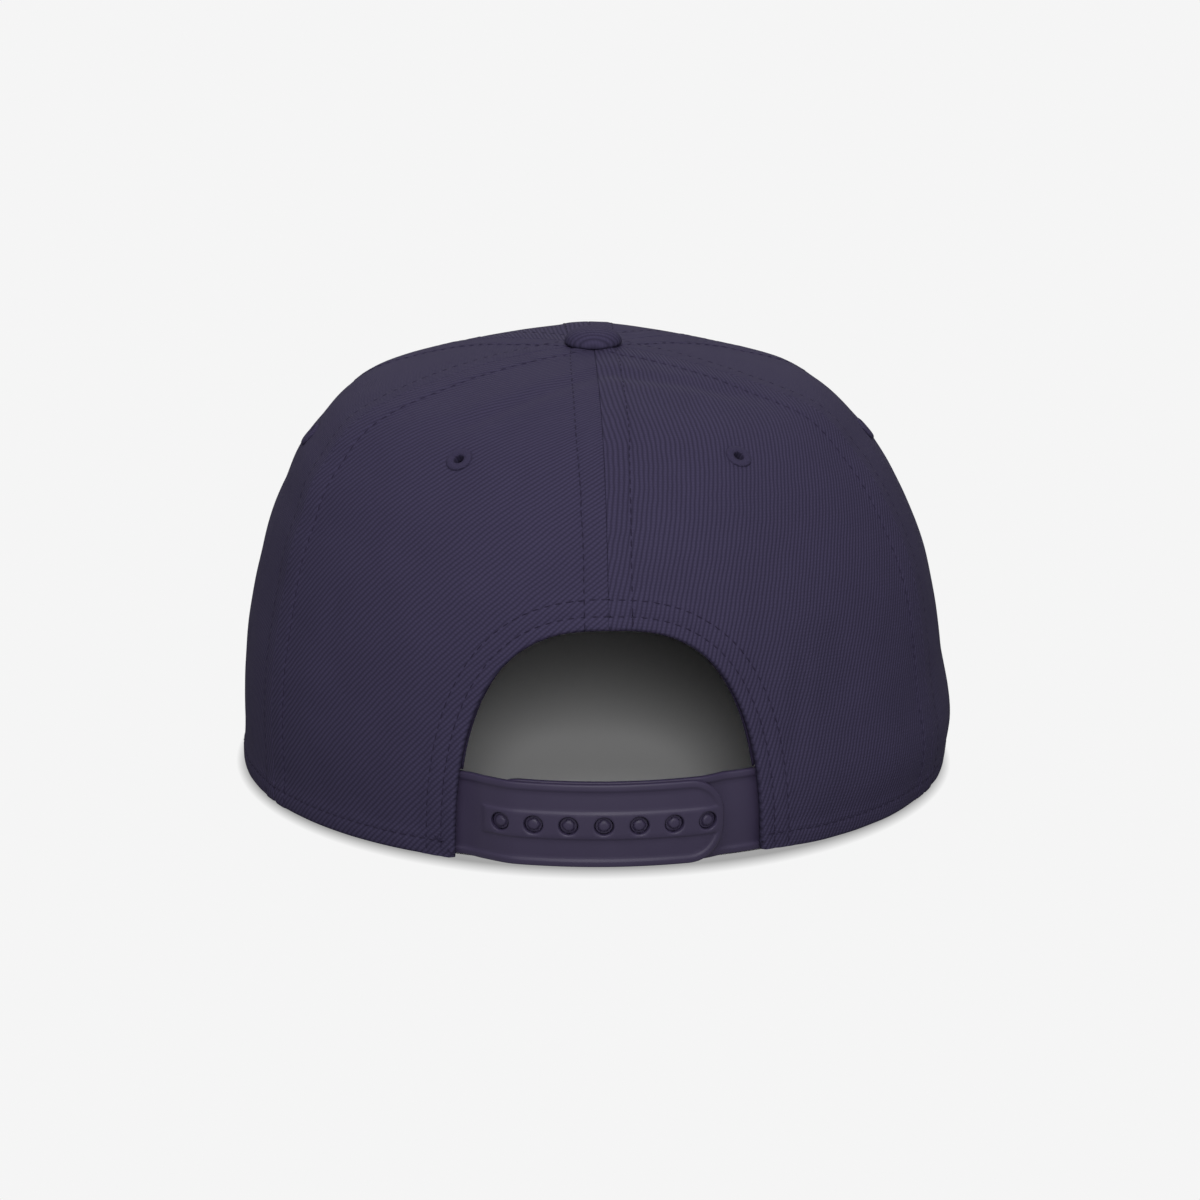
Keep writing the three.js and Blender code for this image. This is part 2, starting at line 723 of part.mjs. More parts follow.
// Then moved so that the middle of its bounding box stands on the origin
const bounds = new THREE.Box3().setFromObject(crown, true);
const middle = bounds.getCenter(new THREE.Vector3());
crown.position.set(-middle.x, -middle.y, -bounds.min.z);

const snapbackCap = new THREE.Group();
snapbackCap.add(crown);

export default snapbackCap;
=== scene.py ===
"""Snapback cap: six twill panels, button, eyelets, visor, sweatband and snap strap.

Everything is laid out in millimetres about the middle of the crown, and put into the frame in metres.
A turn goes round the crown from the back, positive toward +X, and a rise goes from the rim to the top.
"""

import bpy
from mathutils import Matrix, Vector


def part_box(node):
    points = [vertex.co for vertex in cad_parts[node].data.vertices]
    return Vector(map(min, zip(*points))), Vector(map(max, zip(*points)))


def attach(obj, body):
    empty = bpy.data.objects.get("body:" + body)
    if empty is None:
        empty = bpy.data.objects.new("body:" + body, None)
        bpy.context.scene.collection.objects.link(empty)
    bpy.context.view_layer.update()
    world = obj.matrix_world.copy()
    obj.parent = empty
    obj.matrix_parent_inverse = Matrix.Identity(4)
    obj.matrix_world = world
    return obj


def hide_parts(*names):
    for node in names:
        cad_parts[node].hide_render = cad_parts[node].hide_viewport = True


bl_info = {
    "name": "Snapback cap",
    "version": (1, 0, 0),
    "blender": (4, 5, 0),
    "location": "View3D > Sidebar > Cap",
    "description": "Builds a six-panel snapback cap with its stitches, eyelets, visor and moulded snap strap",
    "category": "Object",
}

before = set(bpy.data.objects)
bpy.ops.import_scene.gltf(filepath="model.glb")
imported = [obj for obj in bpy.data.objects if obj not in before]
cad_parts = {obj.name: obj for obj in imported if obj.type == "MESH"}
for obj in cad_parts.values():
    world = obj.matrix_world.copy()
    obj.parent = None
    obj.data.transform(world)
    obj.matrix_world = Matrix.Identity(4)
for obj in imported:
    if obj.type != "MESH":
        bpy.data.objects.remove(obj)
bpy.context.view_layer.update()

import functools
import math

import bpy
import numpy as np
from bpy.props import FloatProperty, FloatVectorProperty, IntProperty, PointerProperty
from mathutils import Vector, noise
from mathutils.geometry import delaunay_2d_cdt

MM = 0.001
QUARTER = math.pi / 2

# Crown, in millimetres, as its solids have it
CROWN_HALF_WIDTH = 86.8
CROWN_BACK_REACH = 92.6
CROWN_FRONT_REACH = 104
CROWN_HEIGHT = 102.6
CLOTH_THICKNESS = 1.8
PIECE_CLEARANCE = 0.3
LINING_GAP = 0.45
BACK_FULLNESS = 3
SIDE_FULLNESS = 2.95
FRONT_FULLNESS = 2.55
RIM_SQUARENESS = 1.95
RIM_TUCK_SHARE = 0.014
RIM_TUCK_HEIGHT = 25
BACK_SEAM = {"rim": 66, "top": 72}
FRONT_SEAM = {"rim": 118, "top": 121}
GORE_STRENGTH = 0.42
GORE_START = 1.5
GORE_LEVEL = 0.94
MIDDLE_SEAM_SOFTNESS = 14
MIDDLE_SEAM_CREASE = 0.3

# Fullness of the two sides by share of the height
SIDE_BULGE_COLUMNS = ("height", "left", "right")
SIDE_BULGES = np.array([
    (0, 0.0045, 0.01),
    (0.11, -0.003, 0.022),
    (0.3, -0.005, -0.002),
    (0.48, -0.008, -0.003),
    (0.66, 0, -0.0105),
    (0.8, 0.033, 0),
    (0.9, 0.07, 0.021),
    (1, 0.01, -0.13),
])

# Soft dents and folds: turn and spread in degrees, the rest as shares of the crown's height
DENTS = (
    {"turn": -8, "spread": 34, "height": 0.9, "rise": 0.045, "depth": 0.012},
    {"turn": -43, "spread": 8, "height": 0.42, "rise": 0.14, "depth": 0.009},
    {"turn": -33, "spread": 6, "height": 0.44, "rise": 0.14, "depth": -0.005},
    {"turn": -72, "spread": 13, "height": 0.8, "rise": 0.1, "depth": 0.012},
    {"turn": 48, "spread": 9, "height": 0.42, "rise": 0.2, "depth": 0.006},
    {"turn": 150, "spread": 16, "height": 0.72, "rise": 0.12, "depth": 0.008},
)
LIFTED_CORNER = {"turn": -25, "spread": 9, "lift": 1.2}

# The rise of the panels toward the button, and the front ones' soft crest in front of it, in millimetres
APEX_PEAK = {"lift": 1.7, "spread": 26}
FRONT_CREST = {"ahead": 24, "width": 22, "length": 20, "lift": 1.9, "start": 7, "ease": 16}

# Visor, button and eyelets, in millimetres
VISOR_LENGTH = 68
VISOR_HALF_WIDTH = 86
VISOR_THICKNESS = 3
VISOR_ARCH = 8
VISOR_TIP_SQUARENESS = 2.5
VISOR_WIDEST_SETBACK = 43
VISOR_FRONT_SHARE = 0.8
VISOR_SPREAD = 62
VISOR_SEAT = 1
RIM_RETURN_TURN = 14
BUTTON_RADIUS = 7
BUTTON_HEIGHT = 4.2
BUTTON_EDGE = 0.6
SHANK_RADIUS = 1.6
SHANK_REACH = 1
EYELET_RADIUS = 3.25
EYELET_HOLE_RADIUS = 1.2
EYELET_SLEEVE_RADIUS = 1.8
EYELET_RAISE = 0.8
WINDINGS = 46
EYELET_PLACES = (
    {"name": "back", "turn": 33.8, "height": 0.868},
    {"name": "side", "turn": 92, "height": 0.8},
    {"name": "front", "turn": 150, "height": 0.82},
)

# Arched opening, tape, sweatband and snap strap, in millimetres
ARCH_HALF_WIDTH = 36.4
ARCH_HEIGHT = 56.5
ARCH_FULLNESS = 2.6
ARCH_TAPE_LENGTH = 145.0
ARCH_TAPE_WIDTH = 11
ARCH_TAPE_THICKNESS = 1
SWEATBAND_HEIGHT = 30
SWEATBAND_THICKNESS = 1.2
SWEATBAND_SETBACK = 1
SWEATBAND_EASE_TURN = 7
SWEATBAND_LENGTH_SHARE = 1.04
STRAP_HEIGHT = 20.4
STRAP_FOOT_GAP = 0.5
STRAP_THICKNESS = 1.3
STRAP_TUCK = 12
STRAP_TIP_RADIUS = 8.5
RIDGE_WIDTH = 1.5
RIDGE_RAISE = 0.4
RIDGE_SPILL = 0.15
RIDGE_EASE = 0.7
BAR_SPILL = 0.35
BAR_EASE = 0.6
STRAP_ROUNDING = 0.4
HOLE_ROUNDING = 0.35
PLATEAU_HEIGHT = 6.4
SNAP_COUNT = 7
SNAP_PITCH = 8
SNAP_ROW_CENTRE = 1.3
SNAP_END_MARGIN = 4.3
LAYER_EASE = 6
STRAP_BOW = 2.4
STRAP_BOW_REACH = 33
STRAP_BOW_EASE = 12
HOLE_RADIUS = 2.2
STUD_RADIUS = 1.25
STUD_RAISE = 0.5
COLLAR_RADIUS = HOLE_RADIUS - 0.3
COLLAR_DROP = 0.75
STUD_DOME = 0.25

# What fits together, worked out from the sizes above
LINING_DEPTH = CLOTH_THICKNESS + LINING_GAP
STRAP_STACK = STRAP_THICKNESS + RIDGE_RAISE
STRAP_SHIFT = (STRAP_STACK + PIECE_CLEARANCE) / 2
STRAP_TOP = STRAP_FOOT_GAP + STRAP_HEIGHT
STRAP_MIDDLE = STRAP_FOOT_GAP + STRAP_HEIGHT / 2
SNAP_ROW_HALF = (SNAP_COUNT - 1) * SNAP_PITCH / 2
APEX_HOLE_RADIUS = SHANK_RADIUS + PIECE_CLEARANCE

# Sewing, in millimetres: where the rows of stitches lie, and how far the turned-in cloth stands proud
SEAM_ROW = 5.5
ARCH_ROWS = (3.3, 7.3)
RIM_ROW = 4.0
VISOR_FIRST_ROW = 3.0
VISOR_ROW_PITCH = 7.0
VISOR_ROW_COUNT = 8
ALLOWANCE_RAISE = 0.28
ALLOWANCE_MARGIN = 0.2
ALLOWANCE_EASE = 1.3
HEM_RAISE = 0.3
HEM_MARGIN = 0.4
HEM_EASE = 1.2
EYELET_DENT = 0.3
EYELET_DENT_WIDTH = 2.2
EDGE_ROUNDING = 0.75
VISOR_ROUNDING = 1.2
SEAM_ROUNDING = 0.22
SEAM_GAP = -0.06
# How far a row of each kind ends from the panel's other edges
ROW_ENDS = {"seam": {"rim": 1.2, "arch": 1.2, "top": 5.0}, "rim": {"arch": 2.0}, "arch": {"rim": 2.0}}
ROW_SPACING = 0.9
ROW_CLEAR_SHARE = 0.97
ROW_DIMPLE = 0.2
ROW_WIDTH = 0.55
PUCKER_RAISE = 0.07
PUCKER_WIDTH = 2.2
STITCH_PITCH = 2.7

# Soft creases in the back panels: depth and width in millimetres, and places along each by turn in degrees
# and share of the crown's height
CREASES = (
    {
        "depth": 0.95, "width": 3.6,
        "places": ((46, 0.885), (39.2, 0.923), (34.8, 0.943), (26.5, 0.971), (9, 0.99), (-6.4, 0.994),
                   (-34.8, 0.985), (-52, 0.963), (-60, 0.93)),
    },
    {
        "depth": 0.6, "width": 3.5,
        "places": ((-34.8, 0.52), (-34.2, 0.44), (-33.2, 0.37), (-32.2, 0.25), (-32, 0.16)),
    },
    {"depth": 0.3, "width": 3.0, "places": ((47, 0.66), (52, 0.55), (54, 0.42))},
    {"depth": 0.25, "width": 3.5, "places": ((-12, 0.93), (-17, 0.84), (-20, 0.74))},
)
PANEL_SPACING = 1.15
CREASE_SWELL = {"share": 0.45, "width": 2.4}
# How far the cloth lies off its plain form, in millimetres, by the size of its ripples
RIPPLES = ({"lift": 0.28, "size": 24}, {"lift": 0.12, "size": 9})

# The wales' slope on each panel, in degrees from level, rising to the right as seen from outside
WALE_SLOPES = {
    ("left", "back"): 46, ("right", "back"): 66, ("left", "side"): 66,
    ("right", "side"): 114, ("left", "front"): 66, ("right", "front"): 46,
}
SIDES = (("left", 1), ("right", -1))

# Side, then turn in degrees and height in millimetres where each tack starts and ends
CORNER_TACKS = ((1, (28.2, 4.4), (26.0, 1.6)), (-1, (26.0, 3.2), (28.4, 3.4)))


def crown_centre():
    """The middle of the crown on the table, in the frame."""
    low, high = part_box("top_button")
    return np.array([(low.x + high.x) / 2, (low.y + high.y) / 2, 0.0])


CENTRE = crown_centre()


def eased(share):
    held = np.clip(share, 0, 1)
    return held * held * (3 - 2 * held)


def lerp(low, high, share):
    return low + (high - low) * share


def signed_power(value, power):
    return np.sign(value) * np.abs(value) ** power


def turn_apart(turn, other):
    apart = turn - other
    return np.arctan2(np.sin(apart), np.cos(apart))


def bell(distance, width):
    return np.exp(-((distance / width) ** 2))


def seam_turns(rise):
    """The four seams' turns on one side at a rise: back, between back and side, side and front, front."""
    to_top = (rise / QUARTER) ** 2
    back = np.radians(lerp(BACK_SEAM["rim"], BACK_SEAM["top"], to_top))
    front = np.radians(lerp(FRONT_SEAM["rim"], FRONT_SEAM["top"], to_top))
    return [np.zeros_like(back), back, front, np.full_like(back, math.pi)]


def gore_shape(turn, rise):
    """How far a panel's section stands out at its seams and in at its middle, as a share."""
    from_back = np.abs(turn_apart(turn, 0))
    seams = seam_turns(rise)
    in_back, in_side = from_back < seams[1], from_back < seams[2]
    low = np.select([in_back, in_side], seams[:2], seams[2])
    high = np.select([in_back, in_side], seams[1:3], seams[3])
    half = (high - low) / 2
    into = np.where(in_side, from_back - low, math.pi - from_back)
    softness = np.where(in_back | ~in_side, math.radians(MIDDLE_SEAM_SOFTNESS), 0)
    soft = softness * (1 - (into / half / 2) ** 2)
    softened = lerp(np.hypot(into, soft), into, MIDDLE_SEAM_CREASE)
    return np.cos(half) / np.cos(softened - half) - GORE_LEVEL


def side_bulge(sine, height_share):
    heights = SIDE_BULGES[:, 0]
    upper = np.clip(np.searchsorted(heights, height_share), 1, len(heights) - 1)
    column = np.where(sine > 0, SIDE_BULGE_COLUMNS.index("left"), SIDE_BULGE_COLUMNS.index("right"))
    share = eased((height_share - heights[upper - 1]) / (heights[upper] - heights[upper - 1]))
    return lerp(SIDE_BULGES[upper - 1, column], SIDE_BULGES[upper, column], share)


def dent_depth(turn, height_share):
    depth = 0.0
    for dent in DENTS:
        across = turn_apart(turn, math.radians(dent["turn"])) / math.radians(dent["spread"])
        up = (height_share - dent["height"]) / dent["rise"]
        depth = depth + dent["depth"] * CROWN_HEIGHT * np.exp(-across * across - up * up)
    return depth


def fullness_at(turn):
    end_fullness = np.where(np.cos(turn) > 0, BACK_FULLNESS, FRONT_FULLNESS)
    return SIDE_FULLNESS * np.sin(turn) ** 2 + end_fullness * np.cos(turn) ** 2


def top_raise(across, along):
    side = across / FRONT_CREST["width"]
    ahead = (along + FRONT_CREST["ahead"]) / FRONT_CREST["length"]
    past = eased((-along - FRONT_CREST["start"]) / FRONT_CREST["ease"])
    crest = FRONT_CREST["lift"] * np.exp(-side * side - ahead * ahead) * past
    return crest + APEX_PEAK["lift"] * bell(np.hypot(across, along), APEX_PEAK["spread"])


def crown_point(turn, rise):
    """Points of the crown's outer face."""
    turn, rise = np.broadcast_arrays(np.asarray(turn, float), np.asarray(rise, float))
    sine, cosine = np.sin(turn), np.cos(turn)
    fullness = fullness_at(turn)
    level, up = np.abs(np.cos(rise)), np.abs(np.sin(rise))
    scale = (level ** fullness + up ** fullness) ** (-1 / fullness)
    height_share = up * scale
    height = height_share * CROWN_HEIGHT
    tuck = np.maximum(0, 1 - height / RIM_TUCK_HEIGHT) ** 2 * RIM_TUCK_SHARE
    gore = GORE_STRENGTH * height_share ** GORE_START * gore_shape(turn, rise)
    dent = dent_depth(turn, height_share) / CROWN_HALF_WIDTH
    spread = np.cos(rise) * scale * (1 - tuck) * (1 + gore) * (1 - dent)
    corner = 2 / RIM_SQUARENESS
    reach = np.where(cosine > 0, CROWN_BACK_REACH, CROWN_FRONT_REACH)
    bulge = side_bulge(sine, height_share)
    across = CROWN_HALF_WIDTH * signed_power(sine, corner) * spread * (1 + bulge)
    along = reach * signed_power(cosine, corner) * spread
    return np.stack([across, along, height + top_raise(across, along)], -1)


def unit(vectors):
    return vectors / np.linalg.norm(vectors, axis=-1, keepdims=True)


def crown_normal(turn, rise):
    step = 0.01
    low = np.maximum(0, rise - step)
    aside = crown_point(turn + step, rise) - crown_point(turn - step, rise)
    upslope = crown_point(turn, rise + step) - crown_point(turn, low)
    return unit(np.cross(upslope, aside))


def rise_at_height(turn, height):
    fullness = fullness_at(turn)
    share = np.clip(height / CROWN_HEIGHT, 0, 1)
    return np.arctan2(share, (1 - share ** fullness) ** (1 / fullness))


def level_layer(turn, height, depth):
    """Points a depth below the outer face at a chosen height, moved level."""
    turn, height, depth = np.broadcast_arrays(turn, height, depth)
    rise = rise_at_height(turn, height)
    normal = crown_normal(turn, rise)
    inward = normal[..., :2] * (-depth / (normal[..., :2] ** 2).sum(-1))[..., None]
    point = crown_point(turn, rise)
    point[..., :2] += inward
    point[..., 2] = height
    return point


def visor_underside(across):
    share = np.clip(np.abs(across) / VISOR_HALF_WIDTH, 0, 1)
    return VISOR_ARCH * (1 - share * share)


def rim_height(turn):
    """Height of the crown's lower edge above the table."""
    turn = np.asarray(turn, float)
    from_front = np.abs(turn_apart(turn, math.pi))
    past = eased(1 - (from_front - math.radians(VISOR_SPREAD)) / math.radians(RIM_RETURN_TURN))
    across = crown_point(turn, 0)[..., 0] * (1 - CLOTH_THICKNESS / CROWN_HALF_WIDTH)
    on_visor = (visor_underside(across) + VISOR_THICKNESS + PIECE_CLEARANCE) * past
    from_corner = turn_apart(turn, math.radians(LIFTED_CORNER["turn"]))
    return on_visor + LIFTED_CORNER["lift"] * bell(from_corner / math.radians(LIFTED_CORNER["spread"]), 1)


def back_turn_at(across, height):
    """The turn at which the back half of the crown's outer face has a given place across."""
    turn = np.arcsin(np.clip(across / CROWN_HALF_WIDTH, -1, 1))
    for _ in range(6):
        reached = crown_point(turn, rise_at_height(turn, height))[..., 0]
        share = np.clip(across - reached, -20, 20) / CROWN_HALF_WIDTH
        turn = turn + share / np.maximum(0.3, np.cos(turn))
    return turn


def arch_point(angle):
    """Place across and height on the opening's edge, by angle from the left leg's foot over the top."""
    power = 2 / ARCH_FULLNESS
    across = ARCH_HALF_WIDTH * signed_power(np.cos(angle), power)
    return across, ARCH_HEIGHT * np.abs(np.sin(angle)) ** power


def arch_angle(height):
    return math.asin(min(1, height / ARCH_HEIGHT) ** (ARCH_FULLNESS / 2))


# Flat outlines: curves are arrays of points in millimetres, and an outline runs anticlockwise


def spaced(curve, spacing):
    """The same open curve, with its points evenly spaced."""
    steps = np.linalg.norm(np.diff(curve, axis=0), axis=1)
    runs = np.concatenate([[0], np.cumsum(steps)])
    places = np.linspace(0, runs[-1], max(2, round(runs[-1] / spacing) + 1))
    return np.column_stack([np.interp(places, runs, curve[:, axis]) for axis in range(curve.shape[1])])


def circle(centre, radius, count):
    angles = np.linspace(0, 2 * math.pi, count + 1)
    return centre + radius * np.column_stack([np.cos(angles), np.sin(angles)])


def nearest_on(points, curve):
    """Distance from each point to an open curve, and how far along it the nearest place lies."""
    starts, ways = curve[:-1], np.diff(curve, axis=0)
    lengths = np.linalg.norm(ways, axis=1)
    shares = np.clip(((points[:, None] - starts) * ways).sum(-1) / lengths ** 2, 0, 1)
    gaps = np.linalg.norm(points[:, None] - starts - shares[..., None] * ways, axis=-1)
    best = gaps.argmin(1)
    picked = np.arange(len(points))
    runs = np.concatenate([[0], np.cumsum(lengths)])
    return gaps[picked, best], runs[best] + shares[picked, best] * lengths[best]


def inside(points, loop):
    """Which points lie within a closed loop."""
    x, y = points[:, :1], points[:, 1:]
    start, end = loop[:-1], loop[1:]
    spans = (start[:, 1] > y) != (end[:, 1] > y)
    slope = (end[:, 0] - start[:, 0]) / np.where(end[:, 1] == start[:, 1], 1, end[:, 1] - start[:, 1])
    return (spans & (x < start[:, 0] + slope * (y - start[:, 1]))).sum(1) % 2 == 1


def beside(curve, distance):
    """The curve moved to its left by a distance."""
    ways = np.gradient(curve, axis=0)
    ways = unit(ways)
    return curve + distance * np.column_stack([-ways[:, 1], ways[:, 0]])


# How close the points that fill an outline may come to its edges, to each other and to the rings
EDGE_CLEAR = 0.05
CELL_SHARE = 0.3
RING_CLEAR_SHARE = 0.94
GRID_CLEAR_SHARE = 0.55


class Outline:
    """A flat shape: named edges that run anticlockwise round it, and round holes."""

    def __init__(self, edges, spacing, holes=()):
        self.edges = {name: spaced(curve, spacing) for name, curve in edges.items()}
        self.spacing = spacing
        self.loop = np.concatenate([curve[:-1] for curve in self.edges.values()])
        self.loop = np.concatenate([self.loop, self.loop[:1]])
        self.holes = [circle(centre, radius, count) for centre, radius, count in holes]

    def room(self, points):
        """How far each point is from the outline and the holes."""
        return np.min([nearest_on(points, loop)[0] for loop in [self.loop, *self.holes]], axis=0)

    def holds(self, points):
        held = inside(points, self.loop)
        for hole in self.holes:
            held &= ~inside(points, hole)
        return held

    def ring_points(self, rings):
        """Rows of points beside the edges and round the holes."""
        rows = []
        for name, curve in self.edges.items():
            for distance in rings.get(name, ()):
                row = beside(curve, distance)
                rows.append(row[nearest_on(row, curve)[0] > RING_CLEAR_SHARE * distance])
        for hole in self.holes:
            rows += [beside(hole, -distance)[:-1] for distance in rings.get("hole", ())]
        return rows

    def grid_points(self, rings, extra):
        """An even grid of points over the shape, clear of the rings and of the extra points."""
        low, high = self.loop.min(0), self.loop.max(0)
        across = np.arange(low[0], high[0], self.spacing)
        rows = np.arange(low[1], high[1], self.spacing * math.sqrt(3) / 2)
        grid = np.array([(x + (row % 2) * self.spacing / 2, y) for row, y in enumerate(rows) for x in across])
        reaches = [(curve, max(rings.get(name, (0,)))) for name, curve in self.edges.items()]
        reaches += [(hole, max(rings.get("hole", (0,)))) for hole in self.holes]
        reaches += [(np.asarray(points), 0) for points in extra]
        gaps = [nearest_on(grid, curve)[0] - reach for curve, reach in reaches]
        return grid[np.min(gaps, axis=0) > GRID_CLEAR_SHARE * self.spacing]

    def fill(self, rings, extra=()):
        """Points and triangles that fill the shape, closer together in rings beside its edges."""
        bands = [self.loop[:-1]] + [hole[:-1] for hole in self.holes]
        extras = [np.asarray(points) for points in extra]
        loose = np.concatenate([*extras, *self.ring_points(rings), self.grid_points(rings, extra)])
        loose = loose[self.holds(loose)]
        loose = loose[self.room(loose) > EDGE_CLEAR]
        cell = CELL_SHARE * min(1, self.spacing)
        _, first = np.unique(np.round(loose / cell), axis=0, return_index=True)
        points = np.concatenate(bands + [loose[np.sort(first)]])
        edges = []
        start = 0
        for band in bands:
            count = len(band)
            edges += [(start + step, start + (step + 1) % count) for step in range(count)]
            start += count
        found = delaunay_2d_cdt([Vector(point) for point in points], edges, [], 0, 1e-7)
        flat = np.array([tuple(point) for point in found[0]])
        faces = np.array([face for face in found[2] if len(face) == 3])
        return flat, faces[self.holds(flat[faces].mean(1))]


def to_frame(points):
    return points * MM + CENTRE


def mesh_object(name, points, faces, uv=None, sharp=None):
    """A mesh object in the frame from points in millimetres about the crown's middle."""
    mesh = bpy.data.meshes.new(name)
    mesh.from_pydata(to_frame(points).tolist(), [], [tuple(int(i) for i in face) for face in faces])
    mesh.validate()
    if uv is not None:
        layer = mesh.uv_layers.new(name="weave")
        corners = np.empty(len(mesh.loops), int)
        mesh.loops.foreach_get("vertex_index", corners)
        layer.data.foreach_set("uv", (uv[corners] * MM).ravel())
    mesh.shade_smooth()
    if sharp is not None:
        mesh.set_sharp_from_angle(angle=math.radians(sharp))
    made = bpy.data.objects.new(name, mesh)
    bpy.context.scene.collection.objects.link(made)
    return made


def wall_object(name, flat, faces, outer, inner, weave, sharp=None):
    """A closed wall: the same triangles on an outer and an inner face, joined along every open edge."""
    count = len(flat)
    sides = np.concatenate([faces[:, [0, 1]], faces[:, [1, 2]], faces[:, [2, 0]]])
    keys = np.sort(sides, axis=1)
    _, index, uses = np.unique(keys, axis=0, return_index=True, return_counts=True)
    open_sides = sides[index[uses == 1]]
    start, end = open_sides[:, 0], open_sides[:, 1]
    joins = np.concatenate([
        np.column_stack([end, start, start + count]),
        np.column_stack([end, start + count, end + count]),
    ])
    every = np.concatenate([faces, faces[:, ::-1] + count, joins])
    return mesh_object(name, np.concatenate([outer, inner]), every, np.concatenate([weave, weave]), sharp)


def turned(points, degrees_up):
    """Flat points in axes whose first runs along the wales."""
    angle = math.radians(degrees_up)
    along = points[:, 0] * math.cos(angle) + points[:, 1] * math.sin(angle)
    across = points[:, 1] * math.cos(angle) - points[:, 0] * math.sin(angle)
    return np.column_stack([along, across])


def noise_at(points, size):
    return np.array([noise.noise(Vector(point) / size) for point in points])


class PanelChart:
    """One crown panel laid flat: across to the right as seen from outside, and up its middle."""

    COLUMNS = 64
    ROWS = 240

    def __init__(self, side, index):
        self.side = side
        self.index = index
        self.shares = np.linspace(0, 1, self.COLUMNS + 1)
        self.rises = np.linspace(0, QUARTER * 0.9995, self.ROWS + 1)
        left, right = self.ends(self.rises)
        turns = lerp(left[:, None], right[:, None], self.shares)
        points = crown_point(turns, self.rises[:, None])
        steps = np.linalg.norm(np.diff(points, axis=1), axis=-1)
        across = np.concatenate([np.zeros((len(steps), 1)), np.cumsum(steps, axis=1)], axis=1)
        middle = self.COLUMNS // 2
        self.across = across - across[:, [middle]]
        up = np.linalg.norm(np.diff(points[:, middle], axis=0), axis=-1)
        self.up = np.concatenate([[0], np.cumsum(up)])

    def ends(self, rise):
        """The turns of the panel's left and right seams as seen from outside."""
        seams = seam_turns(np.asarray(rise, float))
        near, far = self.side * seams[self.index], self.side * seams[self.index + 1]
        return (far, near) if self.side > 0 else (near, far)

    def flat(self, turn, rise):
        left, right = self.ends(rise)
        share = (turn - left) / (right - left)
        row = np.interp(rise, self.rises, np.arange(len(self.rises)))
        low = np.minimum(row.astype(int), len(self.rises) - 2)
        column = np.clip(share * self.COLUMNS, 0, self.COLUMNS - 0.0001)
        col = column.astype(int)
        part, piece = row - low, column - col
        lower = lerp(self.across[low, col], self.across[low, col + 1], piece)
        upper = lerp(self.across[low + 1, col], self.across[low + 1, col + 1], piece)
        return np.column_stack([lerp(lower, upper, part), np.interp(rise, self.rises, self.up)])

    def place(self, flat):
        """The turn and rise of flat points."""
        rise = np.interp(flat[:, 1], self.up, self.rises)
        row = np.interp(rise, self.rises, np.arange(len(self.rises)))
        low = np.minimum(row.astype(int), len(self.rises) - 2)
        part = (row - low)[:, None]
        spans = lerp(self.across[low], self.across[low + 1], part)
        column = np.clip((spans < flat[:, :1]).sum(1), 1, self.COLUMNS)
        picked = np.arange(len(flat))
        before, after = spans[picked, column - 1], spans[picked, column]
        share = (column - 1 + (flat[:, 0] - before) / (after - before)) / self.COLUMNS
        left, right = self.ends(rise)
        return lerp(left, right, share), rise


@functools.lru_cache(maxsize=None)
def panel_chart(side, index):
    return PanelChart(side, index)


def inset_ends(chart, rise):
    """The panel's end turns moved in by half the gap to the next panel; a negative gap is an overlap."""
    moved = []
    for turn, toward in zip(chart.ends(rise), (-1, 1)):
        radius = np.linalg.norm(crown_point(turn, rise)[..., :2], axis=-1)
        moved.append(turn + toward * SEAM_GAP / 2 / radius)
    return moved


def rim_turns(side, index, chart):
    """Turns along a panel's rim, which ends at the opening's foot on a back panel."""
    left, right = (turn[0] for turn in inset_ends(chart, np.zeros(1)))
    if index > 0:
        return np.linspace(left, right, 200)
    foot = float(back_turn_at(np.array(side * ARCH_HALF_WIDTH), np.array(0.0)))
    return np.linspace(left, foot, 120) if side > 0 else np.linspace(foot, right, 120)


def arch_edge(side, chart, foot_turn):
    """The opening's edge on a back panel, laid flat from the rim up, and the rise where it ends."""
    angles = np.linspace(arch_angle(float(rim_height(foot_turn))), QUARTER, 120)
    across, height = arch_point(angles)
    turns = back_turn_at(side * np.maximum(across, PIECE_CLEARANCE / 2), height)
    return chart.flat(turns, rise_at_height(turns, height)), float(rise_at_height(turns[-1], height[-1]))


def seam_edge(chart, end, low_rise, top_rise):
    """The flat edge along the panel's left seam, end 0, or its right one, end 1, from a rise to the top."""
    rises = np.linspace(low_rise, top_rise, 200)
    return chart.flat(inset_ends(chart, rises)[end], rises)


def eyelet_hole(side, index, chart):
    """The middle, radius and corner count of the hole for a panel's eyelet."""
    eyelet = EYELET_PLACES[index]
    turn = np.array([side * math.radians(eyelet["turn"])])
    centre = chart.flat(turn, rise_at_height(turn, eyelet["height"] * CROWN_HEIGHT))[0]
    return centre, EYELET_SLEEVE_RADIUS + PIECE_CLEARANCE, 24


